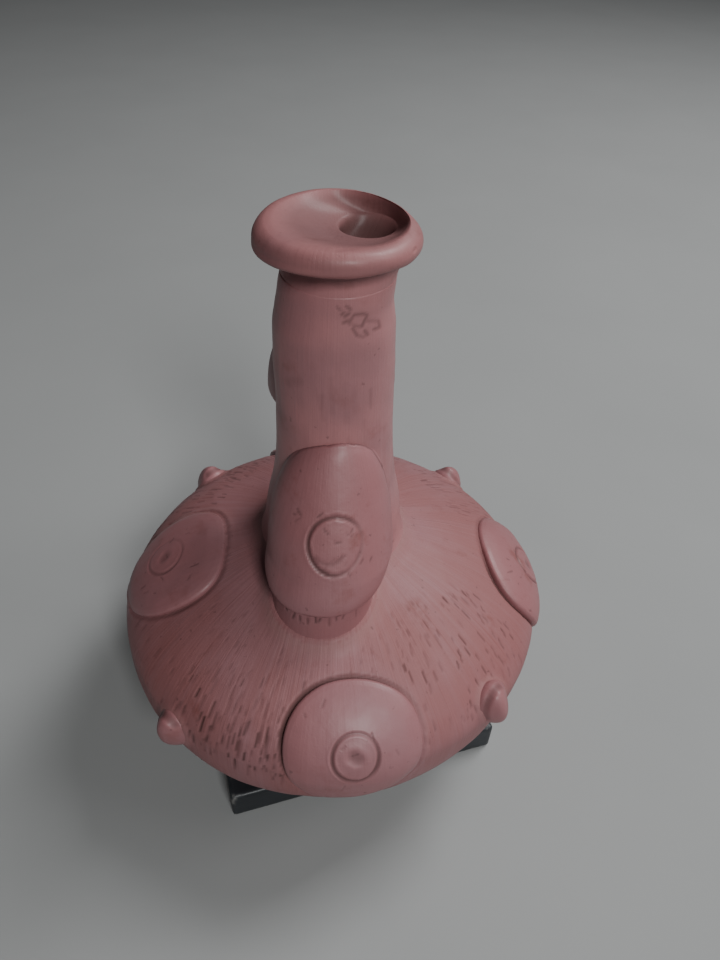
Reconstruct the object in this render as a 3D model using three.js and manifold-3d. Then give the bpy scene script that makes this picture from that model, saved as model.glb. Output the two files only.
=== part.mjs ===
import * as THREE from "three";
import { mergeVertices } from "three/addons/utils/BufferGeometryUtils.js";
import Module from "manifold-3d";

const wasm = await Module();
wasm.setup();

// A hand-built pottery bottle on a loose square plinth. Units are millimetres, +Z is up, the front is -Y,
// and the origin is the centre of the plinth's underside. Each clay piece was luted to its neighbours,
// so every piece is a solid of its own, cut to the form that it was pressed against.

// Seams
const seamGap = 0.3; // the luting seam between two clay pieces
const standGap = 0.3; // under the foot, where the bottle stands loose

// Plinth
const plinthSide = 114;
const plinthHeight = 15;
const plinthArris = 0.8; // worn edge of the top and bottom faces
const plinthCorner = 1.5; // radius of the upright corners
const plinthTurn = 11.5; // degrees that the plinth is turned from the front of the bottle

// Body, a bowl and a dome joined at the equator
const bodyRadius = 84;
const footRadius = 37;
const bowlHeight = 44.4; // foot to equator
const bowlFullness = 2.8; // exponent of the superellipse: 2 is an ellipse, more is fuller
const domeHeight = 41.8; // equator to crown
const domeFullness = 1.68;
const bodyWall = 6.5;
const floorThickness = 8;

// Neck, two lengths of tube
const boreRadius = 12;
const neckFootRadius = 22.6;
const neckWaistRadius = 19.9;
const neckBellyRadius = 20;
const neckTopRadius = 18.1;
const neckWaistRise = 58; // above the crown
const neckBellyRise = 74;
const neckJointRise = 80; // seam between the two lengths
const neckHeight = 102; // crown to the seam under the lip

// Lip, a flared collar with a rolled edge
const lipRadius = 24.7;
const lipRoll = 4.2; // radius of the rolled edge
const lipHeight = 18.7;
const funnelDepth = 3; // from the roll's inner side to where the funnel starts to steepen
const funnelShoulder = 14.5; // radius of the funnel there
const throatRadius = 8.5;
const throatOffset = 4.6; // the funnel runs down towards the right

// Bosses, two lobes with an incised ring: the front one stands on the dome by a short stem, and the rear
// one is shorter and sits high on the back of the neck
const bossLean = 1.9; // exponent of the curve by which a lobe leans back to the neck: 1 is straight
const bossFullness = 2.1; // exponent of the arch that a lobe narrows in: 2 is an ellipse, more is blunter
const bossTopDepth = 0.5; // depth over width of a lobe's section at its top; it is round lower down
const bossTaper = 24; // height over which the section changes
const bossRingRadius = 9.7;
const bossRingStretch = 0.98; // ring's height over its width
const bossRingWidth = 1.8;
const bossRingDepth = 1.1;
const frontBossTurn = -3; // degrees from the front
const frontBossRadius = 22; // half of the lobe's width
const frontBossShift = 1.9; // the lobe stands off to the left of its ring
const frontBossStemRadius = 17.5;
const frontBossFootRadius = 19.5; // the stem spreads on the dome
const frontBossStemShift = 2.7; // and the stem to the left of the lobe
const frontBossStemHeight = 14; // above the dome at the stem's front
const frontBossRimStep = 2; // height in which the stem steps out into the lobe
const frontBossWidestHeight = 24.5; // above the same place
const frontBossHeight = 66.8; // above the same place
const frontBossReach = 31.5; // from the neck's axis to the middle of the stem
const frontBossTopReach = 14.5; // and to the lobe's top
const frontBossRingDrop = 26.8; // ring's centre below the top of the lobe
const rearBossTurn = 181;
const rearBossRadius = 22;
const rearBossLowRise = 46; // lower end of the lobe above the crown
const rearBossWidestRise = 56;
const rearBossTopRise = 90;
const rearBossReach = 16;
const rearBossTopReach = 8;
const rearBossRingDrop = 22;

// Discs, four domed pads pressed on round the shoulder
const discRadius = 24.6;
const discThickness = 3.8; // in the middle
const discEdgeThickness = 2.2;
const discEdge = 0.9; // rounding of the edge
const discRingRadius = 8.6;
const discRingWidth = 1.8;
const discRingDepth = 1;
const discDimpleRadius = 2.3;
const discDimpleDepth = 1;
const discFrontRise = 9; // centre of the pad above the equator
const discRightRise = 10;
const discBackRise = 10;
const discLeftRise = 23; // this pad was pressed on higher than the others
const discs = [
  { name: "disc_front", azimuth: 1.2, rise: discFrontRise },
  { name: "disc_right", azimuth: 88, rise: discRightRise },
  { name: "disc_back", azimuth: 180, rise: discBackRise },
  { name: "disc_left", azimuth: -89, rise: discLeftRise },
];

// Nubs, four lugs between the discs, each pinched to an upright ridge
const nubRadius = 8; // half of the nub's height at its root
const nubTipRadius = 5.1; // and of the ridge
const nubReach = 7.2; // beyond the body
const nubPinch = 0.85; // width over height at the root
const nubRidge = 0.5; // and at the ridge
const nubFrontRightRise = 5; // centre of the root above the equator
const nubFrontLeftRise = -4;
const nubBackRise = 10.5;
const nubs = [
  { name: "nub_front_right", azimuth: 41.5, rise: nubFrontRightRise, tilt: 15 },
  { name: "nub_front_left", azimuth: -47, rise: nubFrontLeftRise, tilt: 0 },
  { name: "nub_back_right", azimuth: 132, rise: nubBackRise, tilt: 30 },
  { name: "nub_back_left", azimuth: -139, rise: nubBackRise, tilt: 30 },
];

// Smoothness of the curved faces
const bodySteps = 48; // round the body
const neckSteps = 36; // round the neck, the lip and the bosses
const smallSteps = 28; // round a disc or a ring
const arcSteps = 8; // along a profile's arc
const leastStep = 1; // a curve's points nearer than this to its cut end are left out
const cutterOverrun = 1; // a cutter runs this far past the face that it opens

// Heights that follow from the sizes above
const footZ = plinthHeight + standGap;
const equatorZ = footZ + bowlHeight;
const crownZ = equatorZ + domeHeight;
const neckJointZ = crownZ + neckJointRise;
const neckTopZ = crownZ + neckHeight;
const lipTopZ = neckTopZ + lipHeight;

const clay = { color: "#a06a64", roughness: 0.6, metalness: 0 };
const blackWood = { color: "#23262a", roughness: 0.45, metalness: 0 };

const bottle = new THREE.Group();

// Adds a named mesh with a material of its own
function addPiece(name, geometry, finish) {
  const mesh = new THREE.Mesh(geometry, new THREE.MeshStandardMaterial(finish));
  mesh.name = name;
  bottle.add(mesh);
}

// Revolves a profile of [radius, height] points about the Z axis. The profile runs up the outside
// and back down the inside, from the axis to the axis or closed on itself.
function revolve(profile, steps) {
  const points = profile.map(([radius, height]) => new THREE.Vector2(radius, height));
  return new THREE.LatheGeometry(points, steps).rotateX(Math.PI / 2);
}

// Turns a geometry whose axis is +Z so that the axis points outwards, tilted up from level,
// and moves its origin to a reach from the bottle's axis and a height.
function setOut(geometry, { azimuth, tilt, reach, height }) {
  return geometry
    .rotateX(THREE.MathUtils.degToRad(90 - tilt))
    .translate(0, -reach, height)
    .rotateZ(THREE.MathUtils.degToRad(azimuth));
}

function toSolid(geometry) {
  const bare = geometry.clone();
  bare.deleteAttribute("normal");
  bare.deleteAttribute("uv");
  const merged = mergeVertices(bare, 1e-4);
  return new wasm.Manifold(
    new wasm.Mesh({
      numProp: 3,
      vertProperties: new Float32Array(merged.attributes.position.array),
      triVerts: new Uint32Array(merged.index.array),
    }),
  );
}

function toGeometry(solid) {
  const { vertProperties, triVerts } = solid.getMesh();
  const geometry = new THREE.BufferGeometry();
  geometry.setAttribute("position", new THREE.BufferAttribute(vertProperties, 3));
  geometry.setIndex(new THREE.BufferAttribute(triVerts, 1));
  geometry.computeVertexNormals();
  return geometry;
}

// Points of a quarter superellipse between two radii, above the equator (sign 1) or below it (sign -1)
function quarterArc(radius, height, fullness, fromRadius, toRadius, sign) {
  const angleAt = (r) => Math.acos((r / radius) ** (fullness / 2));
  const start = angleAt(fromRadius);
  const end = angleAt(toRadius);
  return Array.from({ length: arcSteps + 1 }, (_, i) => {
    const angle = start + ((end - start) * i) / arcSteps;
    const r = radius * Math.max(0, Math.cos(angle)) ** (2 / fullness);
    const z = height * Math.max(0, Math.sin(angle)) ** (2 / fullness);
    return [r, equatorZ + sign * z];
  });
}

// Height of the full quarter ellipse that starts at the equator and has dropped this far at the foot
function bowlDepth(radius, foot, drop) {
  return drop / (1 - (foot / radius) ** bowlFullness) ** (1 / bowlFullness);
}

const outerBowlDepth = bowlDepth(bodyRadius, footRadius, bowlHeight);

// Radius of the body's outside at a height above the equator, or below it where that is negative
function bodyRadiusAt(rise) {
  const height = rise < 0 ? outerBowlDepth : domeHeight;
  const fullness = rise < 0 ? bowlFullness : domeFullness;
  return bodyRadius * (1 - (Math.abs(rise) / height) ** fullness) ** (1 / fullness);
}

// Height of the dome's outside at a distance from the axis
function domeZAt(radius) {
  const part = (radius / bodyRadius) ** domeFullness;
  return equatorZ + domeHeight * (1 - part) ** (1 / domeFullness);
}

// The body's outer form as one solid, grown by the luting seam, which cuts what is pressed against it
function bodyForm() {
  const radius = bodyRadius + seamGap;
  const bowl = quarterArc(radius, outerBowlDepth + seamGap, bowlFullness, footRadius, radius, -1);
  const dome = quarterArc(radius, domeHeight + seamGap, domeFullness, radius, 0, 1);
  return toSolid(revolve([[0, bowl[0][1]], ...bowl, ...dome.slice(1)], bodySteps));
}

function bodyLower() {
  const innerRadius = bodyRadius - bodyWall;
  const innerFoot = footRadius - bodyWall;
  const innerDrop = bowlHeight - floorThickness;
  const innerDepth = bowlDepth(innerRadius, innerFoot, innerDrop);
  const outside = quarterArc(bodyRadius, outerBowlDepth, bowlFullness, footRadius, bodyRadius, -1);
  const inside = quarterArc(innerRadius, innerDepth, bowlFullness, innerRadius, innerFoot, -1);
  outside.at(-1)[1] -= seamGap / 2;
  inside[0][1] -= seamGap / 2;
  return revolve([[0, footZ], ...outside, ...inside, [0, equatorZ - innerDrop]], bodySteps);
}

function bodyUpper() {
  const innerRadius = bodyRadius - bodyWall;
  const innerHeight = domeHeight - bodyWall;
  const outside = quarterArc(bodyRadius, domeHeight, domeFullness, bodyRadius, boreRadius, 1);
  const inside = quarterArc(innerRadius, innerHeight, domeFullness, boreRadius, innerRadius, 1);
  outside[0][1] += seamGap / 2;
  inside.at(-1)[1] += seamGap / 2;
  return revolve([...outside, ...inside, outside[0]], bodySteps);
}

// The neck's outside, from where it meets the dome to the seam under the lip
const neckLine = new THREE.SplineCurve([
  new THREE.Vector2(neckFootRadius, domeZAt(neckFootRadius)),
  new THREE.Vector2((neckFootRadius + neckWaistRadius) / 2, crownZ + neckWaistRise / 2),
  new THREE.Vector2(neckWaistRadius, crownZ + neckWaistRise),
  new THREE.Vector2(neckBellyRadius, crownZ + neckBellyRise),
  new THREE.Vector2(neckTopRadius, neckTopZ),
]);
const neckOutside = neckLine.getPoints(arcSteps + 4).map((point) => [point.x, point.y]);
const neckRootZ = domeZAt(neckFootRadius) - bodyWall; // end that the body's form cuts off

function neckRadiusAt(height) {
  const above = neckOutside.findIndex(([, z]) => z >= height);
  const [lowRadius, lowZ] = neckOutside[above - 1];
  const [highRadius, highZ] = neckOutside[above];
  return lowRadius + ((highRadius - lowRadius) * (height - lowZ)) / (highZ - lowZ);
}

// The neck's outer form as one solid, grown by the luting seam
function neckForm() {
  const outside = neckOutside.map(([radius, height]) => [radius + seamGap, height]);
  const root = [outside[0][0], neckRootZ];
  return toSolid(revolve([[0, neckRootZ], root, ...outside, [0, neckTopZ]], neckSteps));
}

// A length of the neck's tube whose outside is a run of points from its lower to its upper end
function tube(outside) {
  const bottom = [boreRadius, outside[0][1]];
  const top = [boreRadius, outside.at(-1)[1]];
  return revolve([bottom, ...outside, top, bottom], neckSteps);
}

function neckLower(body) {
  const endZ = neckJointZ - seamGap / 2;
  const outside = neckOutside.filter(([, z]) => z < endZ - leastStep);
  const root = [neckFootRadius, neckRootZ];
  const blank = toSolid(tube([root, ...outside, [neckRadiusAt(endZ), endZ]]));
  return toGeometry(blank.subtract(body));
}

function neckUpper() {
  const startZ = neckJointZ + seamGap / 2;
  const endZ = neckTopZ - seamGap;
  const outside = neckOutside.filter(([, z]) => z > startZ + leastStep && z < endZ - leastStep);
  return tube([[neckRadiusAt(startZ), startZ], ...outside, [neckRadiusAt(endZ), endZ]]);
}

// The lip's outside sweeps out from the neck into the roll, and a funnel that leans to the right
// is cut out of its middle.
function lip() {
  const rollCentre = new THREE.Vector2(lipRadius - lipRoll, lipTopZ - lipRoll);
  const sweep = new THREE.CubicBezierCurve(
    new THREE.Vector2(neckTopRadius, neckTopZ),
    new THREE.Vector2(neckTopRadius, neckTopZ + lipHeight * 0.45),
    new THREE.Vector2(rollCentre.x, rollCentre.y - lipRoll * 1.9),
    new THREE.Vector2(rollCentre.x + lipRoll * 0.77, rollCentre.y - lipRoll * 0.64),
  );
  const roll = new THREE.EllipseCurve(
    rollCentre.x, rollCentre.y, lipRoll, lipRoll, THREE.MathUtils.degToRad(-20), Math.PI * 0.75,
  );
  const outside = [...sweep.getPoints(arcSteps - 3), ...roll.getPoints(arcSteps)];
  const profile = outside.map((point) => [point.x, point.y]);
  const blank = toSolid(revolve([[0, neckTopZ], ...profile, [0, profile.at(-1)[1]]], neckSteps));
  return toGeometry(blank.subtract(funnel(profile.at(-1))));
}

// The space inside the lip, from above its top down through the throat
function funnel([mouthRadius, mouthZ]) {
  const wall = new THREE.QuadraticBezierCurve(
    new THREE.Vector2(throatRadius, neckTopZ),
    new THREE.Vector2(throatRadius + 1, neckTopZ + lipHeight * 0.5),
    new THREE.Vector2(funnelShoulder, mouthZ - funnelDepth),
  );
  const points = wall.getPoints(arcSteps - 3).map((point) => [point.x, point.y]);
  const over = mouthZ + lipRoll;
  const underZ = neckTopZ - cutterOverrun;
  const form = revolve(
    [
      [0, underZ], [throatRadius, underZ], ...points,
      [mouthRadius, mouthZ], [mouthRadius + cutterOverrun, over], [0, over],
    ],
    neckSteps,
  );
  const position = form.attributes.position;
  for (let i = 0; i < position.count; i += 1) {
    const depth = (mouthZ - position.getZ(i)) / (mouthZ - neckTopZ);
    position.setX(i, position.getX(i) + throatOffset * THREE.MathUtils.clamp(depth, 0, 1));
  }
  return toSolid(form);
}

// A lobe whose level sections are circles, flattened towards its top. Above its low end it leans back to
// the neck, above its widest level it narrows in an arch, and below that level it follows a foot profile
// of [radius, height] points. A ring is incised in its front, and it is cut to the neck and to the dome.
function boss(place, body, neck) {
  const { turn, radius, shift, stemShift, foot, lowZ, widestZ, topZ, reach, topReach, ringDrop } = place;
  const radiusAt = (z) => {
    const part = THREE.MathUtils.clamp((z - widestZ) / (topZ - widestZ), 0, 1);
    return radius * (1 - part ** bossFullness) ** (1 / bossFullness);
  };
  const reachAt = (z) => {
    const part = THREE.MathUtils.clamp((topZ - z) / (topZ - lowZ), 0, 1);
    return topReach + (reach - topReach) * part ** bossLean;
  };
  const depthAt = (z) => THREE.MathUtils.lerp(
    bossTopDepth, 1, THREE.MathUtils.smoothstep(topZ - z, 0, bossTaper),
  );
  const arch = Array.from({ length: arcSteps + 2 }, (_, i) => {
    const z = widestZ + (topZ - widestZ) * Math.sin((Math.PI / 2) * (i / (arcSteps + 2)));
    return [radiusAt(z), z];
  });
  const form = revolve([[0, foot[0][1]], ...foot, ...arch, [0, topZ]], neckSteps);
  const position = form.attributes.position;
  for (let i = 0; i < position.count; i += 1) {
    const z = position.getZ(i);
    const low = THREE.MathUtils.clamp((widestZ - z) / (widestZ - lowZ), 0, 1);
    position.setX(i, position.getX(i) - shift - stemShift * low);
    position.setY(i, position.getY(i) * depthAt(z) - reachAt(z));
  }
  const ringZ = topZ - ringDrop;
  const frontAt = (z) => reachAt(z) + radiusAt(z) * depthAt(z);
  const tilt = THREE.MathUtils.radToDeg(Math.atan((frontAt(ringZ - 1) - frontAt(ringZ + 1)) / 2));
  const ring = ringCutter(bossRingRadius, bossRingWidth, bossRingDepth, radius).scale(1, bossRingStretch, 1);
  setOut(ring, { azimuth: 0, tilt, reach: frontAt(ringZ), height: ringZ });
  const turned = toSolid(form).subtract(toSolid(ring)).rotate([0, 0, turn]);
  return toGeometry(turned.subtract(body).subtract(neck));
}

// The front lobe swells out of its stem over a tooled rim
function frontBoss(body, neck) {
  const groundZ = domeZAt(frontBossReach + frontBossStemRadius);
  const lowZ = groundZ + frontBossStemHeight;
  const widestZ = groundZ + frontBossWidestHeight;
  const swell = frontBossRadius - frontBossStemRadius;
  const foot = [
    [frontBossFootRadius, groundZ - bodyWall],
    [frontBossStemRadius, lowZ - frontBossRimStep / 2],
    [frontBossStemRadius + swell * 0.4, lowZ + frontBossRimStep / 2],
    [frontBossStemRadius + swell * 0.8, (lowZ + widestZ) / 2],
  ];
  const place = { turn: frontBossTurn, radius: frontBossRadius };
  const shifts = { shift: frontBossShift, stemShift: frontBossStemShift };
  const levels = { foot, lowZ, widestZ, topZ: groundZ + frontBossHeight, ringDrop: frontBossRingDrop };
  const reaches = { reach: frontBossReach, topReach: frontBossTopReach };
  return boss({ ...place, ...shifts, ...levels, ...reaches }, body, neck);
}

// The rear lobe is rounded off at its lower end
function rearBoss(body, neck) {
  const lowZ = crownZ + rearBossLowRise;
  const widestZ = crownZ + rearBossWidestRise;
  const foot = Array.from({ length: arcSteps / 2 }, (_, i) => {
    const angle = (Math.PI / 2) * ((i + 1) / (arcSteps / 2 + 1));
    return [rearBossRadius * Math.sin(angle), widestZ - (widestZ - lowZ) * Math.cos(angle)];
  });
  foot.unshift([rearBossRadius * 0.05, lowZ]);
  const place = { turn: rearBossTurn, radius: rearBossRadius, shift: 0, stemShift: 0 };
  const levels = { foot, lowZ, widestZ, topZ: crownZ + rearBossTopRise, ringDrop: rearBossRingDrop };
  const reaches = { reach: rearBossReach, topReach: rearBossTopReach };
  return boss({ ...place, ...levels, ...reaches }, body, neck);
}

// A ring of diamond section that cuts a groove in a face bent round a radius, level along its own Y
function ringCutter(radius, width, depth, bendRadius) {
  const middle = radius - width / 2;
  const cutter = revolve(
    [[middle, -depth], [radius, 0], [middle, depth], [radius - width, 0], [middle, -depth]],
    smallSteps,
  );
  const position = cutter.attributes.position;
  for (let i = 0; i < position.count; i += 1) {
    const x = position.getX(i);
    position.setZ(i, position.getZ(i) - x ** 2 / (2 * bendRadius));
  }
  return cutter;
}

// The body's outline from the foot to the crown, on which pads are laid by their length along it
const outerBowl = quarterArc(bodyRadius, outerBowlDepth, bowlFullness, footRadius, bodyRadius, -1);
const outerDome = quarterArc(bodyRadius, domeHeight, domeFullness, bodyRadius, 0, 1);
const meridian = new THREE.SplineCurve(
  [...outerBowl, ...outerDome.slice(1)].map(([radius, height]) => new THREE.Vector2(radius, height)),
);

// Share of the meridian's length at which it has risen to a height above the equator
function meridianAt(rise) {
  let low = 0;
  let high = 1;
  while (high - low > 1e-6) {
    const middle = (low + high) / 2;
    if (meridian.getPointAt(middle).y < equatorZ + rise) low = middle;
    else high = middle;
  }
  return low;
}

// Wraps a geometry made on the Z axis round the body, so that its X runs round the body, its Y up the
// meridian and its Z out along the surface's normal
function wrapOn(geometry, { azimuth, rise }) {
  const middle = meridianAt(rise);
  const length = meridian.getLength();
  const position = geometry.attributes.position;
  for (let i = 0; i < position.count; i += 1) {
    const along = middle + position.getY(i) / length;
    const ground = meridian.getPointAt(along);
    const slope = meridian.getTangentAt(along);
    const reach = ground.x + slope.y * position.getZ(i);
    const turn = position.getX(i) / ground.x;
    position.setXYZ(
      i, reach * Math.sin(turn), -reach * Math.cos(turn), ground.y - slope.x * position.getZ(i),
    );
  }
  return geometry.rotateZ(THREE.MathUtils.degToRad(azimuth));
}

// A domed pad with an incised ring and a dimple, which follows the shoulder at an even thickness
function disc(place, body) {
  const flatRadius = discRadius - discEdge;
  const dome = discThickness - discEdgeThickness;
  const faceAt = (r) => [r, discThickness - dome * (r / flatRadius) ** 2];
  const steps = arcSteps / 2;
  const spread = (from, to) => Array.from({ length: steps }, (_, i) => from + ((to - from) * i) / steps);
  const face = spread(flatRadius, discRingRadius).map(faceAt);
  const grooveRadius = discRingRadius - discRingWidth / 2;
  const form = revolve(
    [
      [0, -bodyWall / 2], [discRadius, -bodyWall / 2], [discRadius, discEdgeThickness - discEdge], ...face,
      faceAt(discRingRadius), [grooveRadius, faceAt(grooveRadius)[1] - discRingDepth],
      faceAt(discRingRadius - discRingWidth), faceAt(discDimpleRadius),
      [0, discThickness - discDimpleDepth],
    ],
    smallSteps,
  );
  return toGeometry(toSolid(wrapOn(form, place)).subtract(body));
}

// A peg that narrows from an oval root to an upright ridge
function nub({ azimuth, rise, tilt }, body) {
  const flank = new THREE.QuadraticBezierCurve(
    new THREE.Vector2(nubRadius, 0),
    new THREE.Vector2(nubRadius * 0.92, nubReach * 0.95),
    new THREE.Vector2(nubTipRadius, nubReach),
  );
  const points = flank.getPoints(arcSteps / 2).map((point) => [point.x, point.y]);
  const form = revolve(
    [[0, -nubRadius], [nubRadius, -nubRadius], ...points, [0, nubReach]],
    smallSteps / 2,
  );
  const position = form.attributes.position;
  for (let i = 0; i < position.count; i += 1) {
    const part = THREE.MathUtils.clamp(position.getZ(i) / nubReach, 0, 1);
    position.setX(i, position.getX(i) * THREE.MathUtils.lerp(nubPinch, nubRidge, part));
  }
  setOut(form, { azimuth, tilt, reach: bodyRadiusAt(rise), height: equatorZ + rise });
  return toGeometry(toSolid(form).subtract(body));
}

// A square block whose faces and corners are a little rounded by wear
function plinth() {
  const half = plinthSide / 2 - plinthArris;
  const corner = plinthCorner;
  const outline = new THREE.Shape();
  outline.absarc(half - corner, half - corner, corner, 0, Math.PI / 2);
  outline.absarc(-half + corner, half - corner, corner, Math.PI / 2, Math.PI);
  outline.absarc(-half + corner, -half + corner, corner, Math.PI, Math.PI * 1.5);
  outline.absarc(half - corner, -half + corner, corner, Math.PI * 1.5, Math.PI * 2);
  const block = new THREE.ExtrudeGeometry(outline, {
    depth: plinthHeight - 2 * plinthArris,
    bevelSize: plinthArris,
    bevelThickness: plinthArris,
    bevelSegments: 2,
    curveSegments: 3,
  });
  return block.translate(0, 0, plinthArris).rotateZ(THREE.MathUtils.degToRad(plinthTurn));
}

const body = bodyForm();
const neck = neckForm();

addPiece("plinth", plinth(), blackWood);
addPiece("body_lower", bodyLower(), clay);
addPiece("body_upper", bodyUpper(), clay);
addPiece("neck_lower", neckLower(body), clay);
addPiece("neck_upper", neckUpper(), clay);
addPiece("lip", lip(), clay);
addPiece("boss_front", frontBoss(body, neck), clay);
addPiece("boss_rear", rearBoss(body, neck), clay);
discs.forEach((place) => addPiece(place.name, disc(place, body), clay));
nubs.forEach((place) => addPiece(place.name, nub(place, body), clay));

export default bottle;
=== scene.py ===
"""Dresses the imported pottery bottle: hand-built red clay rubbed to a satin, on a scuffed black plinth.

Lengths are in metres, +Z is up, the front is -Y, and azimuths are degrees from the front towards +X.
"""

from __future__ import annotations

import logging
import math
import random
from collections.abc import Callable, Iterable, Sequence
from dataclasses import dataclass, field
from enum import Enum
from itertools import pairwise

import bpy
import numpy as np
from mathutils import Matrix, Vector


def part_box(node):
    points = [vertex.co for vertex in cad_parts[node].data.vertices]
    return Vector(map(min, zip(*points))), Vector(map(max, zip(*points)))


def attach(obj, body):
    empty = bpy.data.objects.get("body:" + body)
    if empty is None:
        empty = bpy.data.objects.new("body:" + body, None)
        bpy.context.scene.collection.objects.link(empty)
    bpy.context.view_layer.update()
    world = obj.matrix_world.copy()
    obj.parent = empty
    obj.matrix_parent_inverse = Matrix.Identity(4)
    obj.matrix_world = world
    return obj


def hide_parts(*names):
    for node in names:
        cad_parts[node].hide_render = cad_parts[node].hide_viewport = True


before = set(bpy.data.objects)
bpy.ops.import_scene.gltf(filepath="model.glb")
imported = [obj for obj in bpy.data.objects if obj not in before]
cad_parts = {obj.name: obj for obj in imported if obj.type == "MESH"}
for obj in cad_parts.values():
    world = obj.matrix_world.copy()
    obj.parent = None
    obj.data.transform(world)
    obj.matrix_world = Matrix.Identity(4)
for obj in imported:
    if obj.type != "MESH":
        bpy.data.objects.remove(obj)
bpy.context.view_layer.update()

log = logging.getLogger("bottle")

MM = 0.001
BORE_RADIUS = 12 * MM
RING_WIDTH = 0.85 * MM

Outline = list[tuple[float, float]]
Colour = tuple[float, float, float, float]
Stops = Sequence[tuple[float, float]]


class Body(Enum):
    """The bodies that the pieces ride on."""

    PLINTH = "plinth"
    BOTTLE = "bottle"


class Slot(Enum):
    """The record's material slots."""

    CLAY = "clay"
    BLACK_WOOD = "black_wood"


class Finish(Enum):
    """The surfaces that the pieces are given."""

    SCORED = "scored_clay"
    SMOOTH = "smoothed_clay"
    # Neck and lip: a lighter copy of the clay as painted light, with painted shade towards the top.
    HANDLED = "lit_top_shaded_clay"
    BLACK_WOOD = "black_wood"


class Trace(Enum):
    """The vertex attributes that carry a maker's traces, and painted shade and sheen, to the finishes."""

    # Dark marks: dirt in tool marks, and painted shade in the pad grooves, the funnel, under the roll and at
    # the lug roots.
    INCISED = "incised"
    # Raised places: pale scuffs on the plinth's arrises, and painted sheen on the clay's drawn-up fillets.
    CREST = "crest"


# Shader maths


class Wire:
    """A number or colour on its way through a node tree, with Python's operators for numbers."""

    def __init__(self, tree: Tree, socket: bpy.types.NodeSocket) -> None:
        """Wraps an output socket of a tree."""
        self.tree = tree
        self.socket = socket

    def _math(self, operation: str, first: Wire | float, second: Wire | float) -> Wire:
        """Adds one Math node."""
        return self.tree.wire("ShaderNodeMath", {"operation": operation}, {0: first, 1: second})

    def __add__(self, other: Wire | float) -> Wire:
        """Adds."""
        return self._math("ADD", self, other)

    def __radd__(self, other: float) -> Wire:
        """Adds, with the number first."""
        return self._math("ADD", other, self)

    def __sub__(self, other: Wire | float) -> Wire:
        """Subtracts."""
        return self._math("SUBTRACT", self, other)

    def __rsub__(self, other: float) -> Wire:
        """Subtracts from a number."""
        return self._math("SUBTRACT", other, self)

    def __mul__(self, other: Wire | float) -> Wire:
        """Multiplies."""
        return self._math("MULTIPLY", self, other)

    def __rmul__(self, other: float) -> Wire:
        """Multiplies, with the number first."""
        return self._math("MULTIPLY", other, self)

    def between(self, low: float, high: float) -> Wire:
        """Rises smoothly from 0 to 1 as the value goes from low to high."""
        smooth = {"interpolation_type": "SMOOTHSTEP"}
        return self.tree.wire("ShaderNodeMapRange", smooth, {0: self, 1: low, 2: high})


class Tree:
    """The node tree of one finish."""

    def __init__(self, name: str) -> None:
        """Makes an empty material.

        Args:
            name: The material's name.
        """
        self.material = bpy.data.materials.new(name)
        self.material.use_nodes = True
        self.material.node_tree.nodes.clear()

    def node(
        self, kind: str, settings: dict[str, object] | None = None, values: dict | None = None
    ) -> bpy.types.Node:
        """Makes a node, sets its options and then fills its sockets.

        Args:
            kind: Blender's name of the node type.
            settings: Options of the node, by name.
            values: Numbers, colours or wires, by the input's name or index.

        Returns:
            The node.
        """
        tree = self.material.node_tree
        made = tree.nodes.new(kind)
        for name, setting in (settings or {}).items():
            setattr(made, name, setting)
        for key, value in (values or {}).items():
            if isinstance(value, Wire):
                tree.links.new(value.socket, made.inputs[key])
            else:
                made.inputs[key].default_value = value
        return made

    def wire(
        self, kind: str, settings: dict | None = None, values: dict | None = None, output: int | str = 0
    ) -> Wire:
        """Makes a node and gives one of its outputs."""
        return Wire(self, self.node(kind, settings, values).outputs[output])

    def place(self) -> Wire:
        """Gives the point on the piece, in metres."""
        return self.wire("ShaderNodeTexCoord", output="Object")

    def stretched(self, place: Wire, scale: Sequence[float]) -> Wire:
        """Scales a point by axis."""
        return self.wire("ShaderNodeMapping", {"vector_type": "POINT"}, {"Vector": place, "Scale": scale})

    def round_axis(self, place: Wire, turn_scale: float, height_scale: float) -> Wire:
        """Turns a point into one that changes with its azimuth and height only, without a seam.

        Args:
            place: The point.
            turn_scale: How fast the result changes with the azimuth.
            height_scale: How fast it changes with the height.

        Returns:
            The point to read a pattern of upright or radial strokes at.
        """
        flat = self.stretched(place, (1.0, 1.0, 0.0))
        unit = self.wire("ShaderNodeVectorMath", {"operation": "NORMALIZE"}, {0: flat})
        turn = self.stretched(unit, (turn_scale,) * 3)
        height = self.stretched(place, (0.0, 0.0, height_scale))
        return self.wire("ShaderNodeVectorMath", {"operation": "ADD"}, {0: turn, 1: height})

    def noise(self, place: Wire, scale: float, detail: float, roughness: float) -> Wire:
        """Makes a noise of about 0.5, from its features per metre, its octaves and how rough it is."""
        values = {"Vector": place, "Scale": scale, "Detail": detail, "Roughness": roughness}
        return self.wire("ShaderNodeTexNoise", None, values)

    def trace(self, trace: Trace) -> Wire:
        """Reads a vertex attribute, from 0 to 1."""
        return self.wire("ShaderNodeAttribute", {"attribute_name": trace.value}, None, "Fac")

    def mix(self, share: Wire, first: Wire | Colour, second: Wire | Colour) -> Wire:
        """Mixes two colours, where a share of 0 gives the first one."""
        settings = {"data_type": "RGBA", "clamp_factor": True}
        return self.wire("ShaderNodeMix", settings, {0: share, 6: first, 7: second}, 2)

    def finish(self, colour: Wire, roughness: Wire, height: Wire, depth: float, coat: float) -> None:
        """Joins the patterns to a surface shader.

        Args:
            colour: The base colour.
            roughness: The roughness.
            height: The relief, from about 0 to 1.
            depth: What 1 of the relief stands for.
            coat: Weight of the clear coat.
        """
        relief = {"Height": height, "Distance": depth, "Strength": 1.0}
        values = {
            "Base Color": colour,
            "Roughness": roughness,
            "Normal": self.wire("ShaderNodeBump", None, relief),
            "Coat Weight": coat,
            "Coat Roughness": 0.3,
        }
        surface = self.wire("ShaderNodeBsdfPrincipled", None, values)
        self.node("ShaderNodeOutputMaterial", None, {"Surface": surface})


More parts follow.
